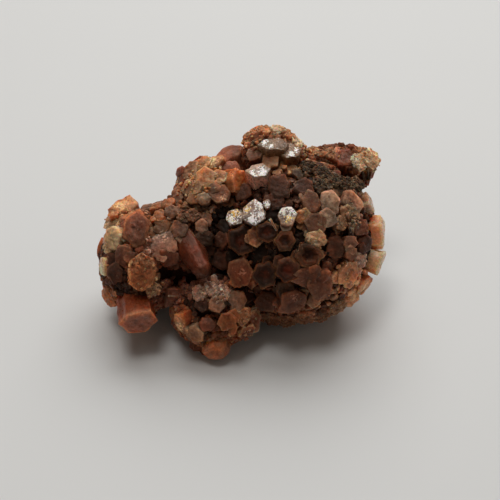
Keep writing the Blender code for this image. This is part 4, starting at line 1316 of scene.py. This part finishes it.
def putMesh(name, surface, material, sharpDeg=50.0):
    # one object of a surface's points and faces, with its colours and its own lengthwise coordinates
    mesh = bpy.data.meshes.new(name)
    corners = np.concatenate([faces.ravel() for faces in surface["faces"]])
    sides = np.concatenate([np.full(len(faces), faces.shape[1]) for faces in surface["faces"]])
    mesh.vertices.add(len(surface["points"]))
    mesh.vertices.foreach_set("co", (surface["points"] * mm).astype(np.float32).ravel())
    mesh.loops.add(len(corners))
    mesh.loops.foreach_set("vertex_index", corners.astype(np.int32))
    mesh.polygons.add(len(sides))
    mesh.polygons.foreach_set("loop_start", np.concatenate([[0], np.cumsum(sides)[:-1]]).astype(np.int32))
    mesh.update(calc_edges=True)
    mesh.validate()
    colour = np.clip(surface["tint"] ** tintPower * tintGain, 0, tintLimit)
    rgba = np.concatenate([colour, np.ones((len(colour), 1))], axis=1)
    tint = mesh.attributes.new("tint", "FLOAT_COLOR", "POINT")
    tint.data.foreach_set("color", rgba.astype(np.float32).ravel())
    grain = mesh.attributes.new("grain", "FLOAT_VECTOR", "POINT")
    grain.data.foreach_set("vector", surface["grain"].astype(np.float32).ravel())
    for key in ("cap", "shine", "gold"):
        if key in surface:
            values = mesh.attributes.new(key, "FLOAT", "POINT")
            values.data.foreach_set("value", surface[key].astype(np.float32))
    mesh.polygons.foreach_set("use_smooth", np.ones(len(sides), bool))
    mesh.set_sharp_from_angle(angle=math.radians(sharpDeg))
    mesh.materials.append(material)
    piece = bpy.data.objects.new(name, mesh)
    bpy.context.scene.collection.objects.link(piece)
    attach(piece, "root")
    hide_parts("aragonite_cluster")
    print(f"{name}: {len(sides)} faces")


def addNode(tree, kind, inputs=None, **settings):
    # a shader node; an input is a value, or another node's output to link to it
    made = tree.nodes.new(kind)
    for key, value in settings.items():
        setattr(made, key, value)
    for key, value in (inputs or {}).items():
        if isinstance(value, bpy.types.NodeSocket):
            tree.links.new(value, made.inputs[key])
        else:
            made.inputs[key].default_value = value
    return made


def attribute(tree, name):
    return addNode(tree, "ShaderNodeAttribute", attribute_name=name).outputs


def mathOf(tree, operation, *inputs):
    return addNode(tree, "ShaderNodeMath", dict(enumerate(inputs)), operation=operation).outputs[0]


def vectorOf(tree, operation, *inputs):
    return addNode(tree, "ShaderNodeVectorMath", dict(enumerate(inputs)), operation=operation).outputs[0]


def scaled(tree, vector, factor):
    return addNode(tree, "ShaderNodeVectorMath", {0: vector, "Scale": factor}, operation="SCALE").outputs[0]


def mixed(tree, factor, first, second):
    inputs = {"Factor": factor, "A": first, "B": second}
    return addNode(tree, "ShaderNodeMix", inputs, data_type="RGBA").outputs["Result"]


def mapped(tree, value, source, target=(0.0, 1.0)):
    # a straight line from the source range to the target range, held at both ends
    inputs = {"Value": value, "From Min": source[0], "From Max": source[1]}
    inputs.update({"To Min": target[0], "To Max": target[1]})
    return addNode(tree, "ShaderNodeMapRange", inputs).outputs["Result"]


def noiseOf(tree, vector, scale, detail, roughness=0.5):
    inputs = {"Vector": vector, "Scale": scale, "Detail": detail, "Roughness": roughness}
    return addNode(tree, "ShaderNodeTexNoise", inputs).outputs["Fac"]


def bumped(tree, height, strength, distance, normal):
    inputs = {"Height": height, "Strength": strength, "Distance": distance}
    if normal is not None:
        inputs["Normal"] = normal
    return addNode(tree, "ShaderNodeBump", inputs).outputs["Normal"]


def grouped(tree, group, inputs):
    return addNode(tree, "ShaderNodeGroup", inputs, node_tree=group).outputs


def newGroup(name, inputs, outputs):
    # a shader node group: its tree, what comes in, and where its results go; inputs are (name, kind, value)
    tree = bpy.data.node_groups.new(name, "ShaderNodeTree")
    for label, kind, value in inputs:
        socket = tree.interface.new_socket(label, in_out="INPUT", socket_type="NodeSocket" + kind)
        if value is not None:
            socket.default_value = value
    for label, kind in outputs:
        tree.interface.new_socket(label, in_out="OUTPUT", socket_type="NodeSocket" + kind)
    return tree, tree.nodes.new("NodeGroupInput").outputs, tree.nodes.new("NodeGroupOutput").inputs


def streakGroup():
    # noise drawn out along a crystal's axis
    inputs = [("Vector", "Vector", None), ("Across", "Float", 3.0), ("Along", "Float", 0.3)]
    tree, given, results = newGroup("growthStreaks", inputs, [("Value", "Float")])
    scale = {"X": given["Across"], "Y": given["Across"], "Z": given["Along"]}
    scale = addNode(tree, "ShaderNodeCombineXYZ", scale).outputs[0]
    stretch = vectorOf(tree, "MULTIPLY", given["Vector"], scale)
    tree.links.new(noiseOf(tree, stretch, 1.0, 3.0, 0.6), results["Value"])
    return tree


def mottleGroup():
    # clouds that darken and lighten a colour
    inputs = [("Color", "Color", None), ("Vector", "Vector", None), ("Scale", "Float", 1.0)]
    inputs += [("Darkest", "Float", 0.6), ("Lightest", "Float", 1.4)]
    tree, given, results = newGroup("mottle", inputs, [("Color", "Color"), ("Value", "Float")])
    noise = noiseOf(tree, given["Vector"], given["Scale"], 4.0, 0.6)
    tone = mapped(tree, noise, (0.3, 0.7), (given["Darkest"], given["Lightest"]))
    tree.links.new(scaled(tree, given["Color"], tone), results["Color"])
    tree.links.new(noise, results["Value"])
    return tree


def sparkleGroup():
    # tiny facets, each with its own slope, tone and hue; the slope is the random colour taken as a direction
    inputs = [("Vector", "Vector", None), ("Scale", "Float", 3.0)]
    outputs = [("Tone", "Float"), ("Height", "Float"), ("Hue", "Float")]
    tree, given, results = newGroup("sparkle", inputs, outputs)
    place = scaled(tree, given["Vector"], given["Scale"])
    cells = addNode(tree, "ShaderNodeTexVoronoi", {"Vector": place, "Scale": 1.0, "Randomness": 1.0}).outputs
    offset = vectorOf(tree, "SUBTRACT", place, cells["Position"])
    slope = vectorOf(tree, "SUBTRACT", cells["Color"], (0.5, 0.5, 0.5))
    height = addNode(tree, "ShaderNodeVectorMath", {0: offset, 1: slope}, operation="DOT_PRODUCT")
    parts = addNode(tree, "ShaderNodeSeparateXYZ", {0: cells["Color"]}).outputs
    tree.links.new(parts["X"], results["Tone"])
    tree.links.new(height.outputs["Value"], results["Height"])
    tree.links.new(parts["Y"], results["Hue"])
    return tree


streaks = streakGroup()
mottle = mottleGroup()
sparkle = sparkleGroup()

plainLook = {
    "roughness": (0.42, 0.66),
    "subsurface": 0.7,
    "reach": 0.0013,  # how far light spreads inside, in m
    "coat": 0.0,
    "streaks": 0.35,  # relief of the growth lines
    "lumps": 0.3,  # relief of the lumps
    "fine": 0.3,  # relief of the fine grain
    "clouds": (0.66, 1.36),  # darkest and lightest clouds
    "specks": (0.76, 1.28),
    "warmth": 0.4,  # how red the glowing patches are
    "dots": 0.955,  # level above which a grain shows as a pale dot; higher gives fewer
    "specular": 0.22,
    "capLines": (0.84, 1.16),  # darkest and lightest growth lines on the end face
    "facets": (0.86, 1.16),  # darkest and lightest cleaved facets
    "slopes": 0.3,  # relief of the cleaved facets
}
# what differs from the plain look
stoneLooks = {
    "waxy": {},
    "amber": {
        "roughness": (0.24, 0.5), "subsurface": 0.9, "reach": 0.0022, "lumps": 0.25, "fine": 0.2,
        "specks": (0.84, 1.18), "warmth": 0.45, "dots": 0.965, "specular": 0.3,
        "capLines": (0.76, 1.26), "facets": (0.86, 1.18),
    },
    "crust": {
        "roughness": (0.45, 0.75), "reach": 0.0014, "streaks": 0.4, "lumps": 0.5, "fine": 0.45,
        "clouds": (0.62, 1.42), "specks": (0.76, 1.26), "warmth": 0.3, "dots": 0.95,
        "specular": 0.25, "capLines": (0.8, 1.22), "facets": (0.82, 1.22), "slopes": 0.35,
    },
    "glass": {
        "roughness": (0.16, 0.38), "subsurface": 0.9, "reach": 0.004, "coat": 0.1, "streaks": 0.2,
        "lumps": 0.12, "fine": 0.05, "clouds": (0.82, 1.18), "specks": (0.9, 1.1), "warmth": 0.2,
        "dots": 0.98, "specular": 0.4, "capLines": (0.86, 1.14), "facets": (0.94, 1.08),
        "slopes": 0.1,
    },
    "glint": {
        "roughness": (0.22, 0.42), "subsurface": 0.4, "reach": 0.0012, "coat": 0.1, "streaks": 0.3,
        "lumps": 0.2, "fine": 0.2, "clouds": (0.75, 1.25), "specks": (0.82, 1.18), "warmth": 0.2,
        "dots": 0.95, "specular": 0.4, "capLines": (0.88, 1.12), "facets": (0.9, 1.12),
        "slopes": 0.2,
    },
    "core": {
        "roughness": (0.6, 0.85), "subsurface": 0.0, "reach": 0.001, "streaks": 0.2, "lumps": 0.9,
        "fine": 0.8, "clouds": (0.5, 1.5), "specks": (0.6, 1.4), "warmth": 0.3, "dots": 0.98,
        "specular": 0.15, "capLines": (1.0, 1.0), "facets": (0.7, 1.3), "slopes": 0.5,
    },
}
clearStone = {"glass": 0.15}  # share of light let through
clearInside = {"colour": (0.86, 0.62, 0.36, 1), "density": 260.0}  # of what takes up light inside, per m
# what every look shares
stone = {
    "IOR": 1.5,
    "Coat Roughness": 0.15,
    "Subsurface Radius": (1.0, 0.36, 0.18),
    "Specular Tint": (1.0, 0.80, 0.66, 1.0),
}

# how fine each pattern is, per mm; lines have one number across and one along the crystal
fineness = {
    "clouds": 0.38,
    "specks": 1.7,
    "lines": (2.4, 0.22),
    "capLines": (1.9, 0.4),
    "glow": 0.7,
    "cleaved": 1.5,
    "dots": 3.2,
    "fine": 5.0,
    "lumps": 1.1,
    "glitter": 3.8,
}
# height of each pattern in m
bumpDepth = {"lumps": 0.0007, "lines": 0.00025, "cleaved": 0.0004, "fine": 0.00016, "glitter": 0.00012}
# growth lines on the sides: noise levels, and how dark and light they make the colour
lineTone = {"from": (0.32, 0.68), "to": (0.80, 1.20)}
# red patches: shift of the pattern, noise levels between which they fade in, and the factor on the colour
glow = {"shift": (17.0, 5.0, 9.0), "from": (0.45, 0.65), "hue": (1.28, 0.97, 0.80)}
# painted highlights as pale dots: what a bright spot adds to their level, the span over which they fade
# in, and their colour
dot = {"shine": 0.75, "room": 0.12, "most": 0.8, "gain": (2.2, 2.2, 2.2), "lift": (0.10, 0.08, 0.06)}
wearFrom = (0.35, 0.65)  # speck levels between which the roughness changes
# painted glints on the glittering end faces, and the bump of their facets
glitter = {
    "bump": 0.4,
    "from": (0.90, 1.14),  # level at which a facet starts to shine, and shines fully
    "goldFrom": (0.10, 0.35),
    "silver": (0.95, 0.91, 0.86, 1),
    "gold": (0.95, 0.62, 0.16, 1),
    "dimFrom": (0.1, 0.25),
    "dim": (0.45, 1.0),  # how dark the dull facets between the shining ones are
}


def mottled(tree, colour, grain, scale, tones):
    inputs = {"Color": colour, "Vector": grain, "Scale": scale, "Darkest": tones[0], "Lightest": tones[1]}
    return grouped(tree, mottle, inputs)


def streaked(tree, vector, key):
    across, along = fineness[key]
    return grouped(tree, streaks, {"Vector": vector, "Across": across, "Along": along})["Value"]


def faceted(tree, grain, key):
    return grouped(tree, sparkle, {"Vector": grain, "Scale": fineness[key]})


def paintedGlints(tree, grain, cap, shine, colour, normal):
    # painted glints: facets of the end face are painted silver or golden where their tone and the spot's
    # strength add up to enough; the dull facets between them are made darker
    facets = faceted(tree, grain, "glitter")
    normal = bumped(tree, facets["Height"], glitter["bump"], bumpDepth["glitter"], normal)
    bright = mapped(tree, mathOf(tree, "ADD", facets["Tone"], shine), glitter["from"])
    bright = mathOf(tree, "MULTIPLY", bright, cap)
    warm = mathOf(tree, "MULTIPLY", facets["Hue"], attribute(tree, "gold")["Fac"])
    hue = mixed(tree, mapped(tree, warm, glitter["goldFrom"]), glitter["silver"], glitter["gold"])
    dull = scaled(tree, colour, mapped(tree, facets["Hue"], glitter["dimFrom"], glitter["dim"]))
    return mixed(tree, bright, dull, hue), normal


def stoneMaterial(look):
    values = {**plainLook, **stoneLooks[look]}
    material = bpy.data.materials.new("aragonite " + look)
    material.use_nodes = True
    tree = material.node_tree
    grain = attribute(tree, "grain")["Vector"]
    cap = attribute(tree, "cap")["Fac"]
    shine = attribute(tree, "shine")["Fac"]

    # the crystal's own colour, with clouds, specks, and growth lines that run another way on the end face
    clouds = mottled(tree, attribute(tree, "tint")["Color"], grain, fineness["clouds"], values["clouds"])
    specks = mottled(tree, clouds["Color"], grain, fineness["specks"], values["specks"])
    lines = streaked(tree, grain, "lines")
    apart = addNode(tree, "ShaderNodeSeparateXYZ", {0: grain}).outputs
    swapped = addNode(tree, "ShaderNodeCombineXYZ", {"Z": apart["X"], "X": apart["Y"], "Y": apart["Z"]})
    sideTone = mapped(tree, lines, lineTone["from"], lineTone["to"])
    capLines = streaked(tree, swapped.outputs[0], "capLines")
    capTone = mapped(tree, capLines, lineTone["from"], values["capLines"])
    tone = addNode(tree, "ShaderNodeMix", {0: cap, 2: sideTone, 3: capTone}, data_type="FLOAT")
    colour = scaled(tree, specks["Color"], tone.outputs[0])

    # patches where the inside glows redder
    glows = noiseOf(tree, vectorOf(tree, "ADD", grain, glow["shift"]), fineness["glow"], 2.0)
    redder = vectorOf(tree, "MULTIPLY", colour, glow["hue"])
    colour = mixed(tree, mapped(tree, glows, glow["from"], (0.0, values["warmth"])), colour, redder)

    # cleaved facets, each of its own tone
    cleaved = faceted(tree, grain, "cleaved")
    colour = scaled(tree, colour, mapped(tree, cleaved["Tone"], (0.0, 1.0), values["facets"]))

    # painted highlights: pale dots where a grain catches the light; outside the glint look, bright spots add
    # more
    lift = 0.0 if look == "glint" else dot["shine"]
    level = mathOf(tree, "MULTIPLY_ADD", shine, lift, faceted(tree, grain, "dots")["Tone"])
    dotAt = mapped(tree, level, (values["dots"], values["dots"] + dot["room"]), (0.0, dot["most"]))
    colour = mixed(tree, dotAt, colour, vectorOf(tree, "MULTIPLY_ADD", colour, dot["gain"], dot["lift"]))

    heights = (
        ("lumps", values["lumps"], noiseOf(tree, grain, fineness["lumps"], 2.0)),
        ("lines", values["streaks"], lines),
        ("cleaved", values["slopes"], cleaved["Height"]),
        ("fine", values["fine"], noiseOf(tree, grain, fineness["fine"], 3.0, 0.65)),
    )
    normal = None
    for key, strength, height in heights:
        normal = bumped(tree, height, strength, bumpDepth[key], normal)
    # painted glints on the end faces of the glint look
    if look == "glint":
        colour, normal = paintedGlints(tree, grain, cap, shine, colour, normal)

    shader = tree.nodes["Principled BSDF"]
    tree.links.new(colour, shader.inputs["Base Color"])
    tree.links.new(normal, shader.inputs["Normal"])
    tree.links.new(mapped(tree, specks["Value"], wearFrom, values["roughness"]), shader.inputs["Roughness"])
    for key, value in stone.items():
        shader.inputs[key].default_value = value
    shader.inputs["Coat Weight"].default_value = values["coat"]
    shader.inputs["Subsurface Weight"].default_value = values["subsurface"]
    shader.inputs["Subsurface Scale"].default_value = values["reach"]
    shader.inputs["Specular IOR Level"].default_value = values["specular"]
    shader.inputs["Transmission Weight"].default_value = clearStone.get(look, 0.0)
    if look in clearStone:
        inputs = {"Color": clearInside["colour"], "Density": clearInside["density"]}
        inside = addNode(tree, "ShaderNodeVolumeAbsorption", inputs)
        tree.links.new(inside.outputs[0], tree.nodes["Material Output"].inputs["Volume"])
    return material


middles = {centre: middleOf(centre) for centre in centres}

listed = listedCrystals()
stand = standCrystals()
hidden = hiddenCrystals(listed + stand)
loosen(listed)
discs = clearDiscs(listed)
hidden = [row for row in hidden if not hidesClearSide(row["end"], row["width"], discs)]
small = gapCrystals(listed + stand + hidden, gap)
least = gapCrystals(listed + stand + hidden + small, tiny)
twins = twinCrystals(listed)
print(f"{len(listed)} listed, {len(hidden)} hidden, {len(small)} small, {len(least)} tiny crystals")
print(f"{len(twins)} crystals grown onto others")

materials = {look: stoneMaterial(look) for look in stoneLooks}
print(f"{len(materials)} materials")


def putCrystals(name, rows, grid, seed, look):
    putMesh(name, prismSurfaces(rows, grid, seed), materials[look])


def ofLook(rows, look):
    return [row for row in rows if lookOf(row) == look]


# seeds of the random draws for each kind of piece
seeds = {
    "crystals": 101,
    "twins": 131,
    "hidden": 151,
    "slender": 161,
    "small": 171,
    "tiny": 191,
    "crustPlaces": 201,
    "crust": 203,
    "core": 205,
    "outer": 207,
}

for look in ("waxy", "amber", "crust", "glass", "glint"):
    putCrystals(look + "_crystals", ofLook(listed, look), largeGrid, seeds["crystals"], look)
for look in ("waxy", "amber", "crust", "glass", "glint"):
    plainer = "waxy" if look == "glint" else look
    putCrystals(look + "_twins", ofLook(twins, look), smallGrid, seeds["twins"], plainer)
for look in ("waxy", "amber"):
    rows = ofLook(hidden + stand + skirtCrystals(stand), look)
    putCrystals(look + "_hidden_crystals", rows, smallGrid, seeds["hidden"], look)
putCrystals("slender_crystals", needleCrystals() + sprayCrystals(), smallGrid, seeds["slender"], "amber")
putCrystals("small_crystals", small, smallGrid, seeds["small"], "waxy")
putCrystals("tiny_crystals", least, tinyGrid, seeds["tiny"], "waxy")

crustRows = crustGrains(listed, seeds["crustPlaces"])
putMesh("crust_grains", grainSurfaces(*crustRows, seeds["crust"], tall=crust["tall"]), materials["crust"])
coreRows = coreGrains()
half = len(coreRows[0]) // 2
for name, part, seed in (("core_grains", slice(half), "core"), ("outer_grains", slice(half, None), "outer")):
    surface = grainSurfaces(*[values[part] for values in coreRows], seeds[seed])
    putMesh(name, surface, materials["crust"])
putMesh("cluster_core", coreSurfaces(), materials["core"])

# pale floor: length of a side in m, colour, and how much the colour varies in patches
floor = {"side": 4.0, "colour": (0.685, 0.69, 0.68), "roughness": 0.75, "vary": 0.015, "fineness": 14.0}


def makeFloor():
    half = floor["side"] / 2
    mesh = bpy.data.meshes.new("floor")
    corners = [(-half, -half, 0), (half, -half, 0), (half, half, 0), (-half, half, 0)]
    mesh.from_pydata(corners, [], [(0, 1, 2, 3)])
    material = bpy.data.materials.new("pale floor")
    material.use_nodes = True
    tree = material.node_tree
    shader = tree.nodes["Principled BSDF"]
    place = addNode(tree, "ShaderNodeTexCoord").outputs["Object"]
    darker = (*[part * (1 - floor["vary"]) for part in floor["colour"]], 1)
    lighter = (*[part * (1 + floor["vary"]) for part in floor["colour"]], 1)
    colour = mixed(tree, noiseOf(tree, place, floor["fineness"], 3.0), darker, lighter)
    tree.links.new(colour, shader.inputs["Base Color"])
    shader.inputs["Roughness"].default_value = floor["roughness"]
    mesh.materials.append(material)
    made = bpy.data.objects.new("floor", mesh)
    bpy.context.scene.collection.objects.link(made)


# soft studio light: place, size across in m, power in W, colour
lamps = {
    "keyLamp": ((0.06, 0.33, 0.53), 0.72, 3.40, (1.0, 1.0, 1.0)),
    "topLamp": ((-0.08, -0.09, 0.57), 0.18, 0.68, (1.0, 0.985, 0.965)),
    "sideLamp": ((0.45, -0.10, 0.30), 0.30, 0.08, (1.0, 0.98, 0.96)),
}
lampTarget = (0.0, 0.0, 0.015)
skyLight = {"colour": (1.0, 0.88, 0.77), "strength": 0.132}


def makeLamps():
    # each lamp turned to the target: tilt from straight down, then turn round Z
    for name, (place, size, power, colour) in lamps.items():
        lamp = bpy.data.lights.new(name, "AREA")
        lamp.shape = "DISK"
        lamp.size = size
        lamp.energy = power
        lamp.color = colour
        made = bpy.data.objects.new(name, lamp)
        made.location = place
        towards = unit(np.array(lampTarget) - np.array(place))
        made.rotation_euler = (math.acos(-towards[2]), 0, math.atan2(towards[1], towards[0]) - math.pi / 2)
        bpy.context.scene.collection.objects.link(made)
    world = bpy.data.worlds.new("soft sky")
    world.use_nodes = True
    sky = world.node_tree.nodes["Background"]
    sky.inputs["Color"].default_value = (*skyLight["colour"], 1)
    sky.inputs["Strength"].default_value = skyLight["strength"]
    bpy.context.scene.world = world


def makeCamera():
    # the lens makes the frame as wide as the photo at the target
    lens = bpy.data.cameras.new("camera")
    lens.sensor_width = view["sensor"]
    lens.lens = view["sensor"] * view["distance"] / (view["frameSide"] / view["perMm"])
    lens.clip_start = 0.01
    made = bpy.data.objects.new("camera", lens)
    made.location = (cameraPlace - np.array(view["shift"])) * mm
    made.rotation_euler = (math.radians(90 - view["downDeg"]), 0, 0)
    bpy.context.scene.collection.objects.link(made)
    bpy.context.scene.camera = made
    bpy.context.scene.view_settings.view_transform = "Standard"


makeFloor()
makeLamps()
makeCamera()
print("stage, lights and camera set")
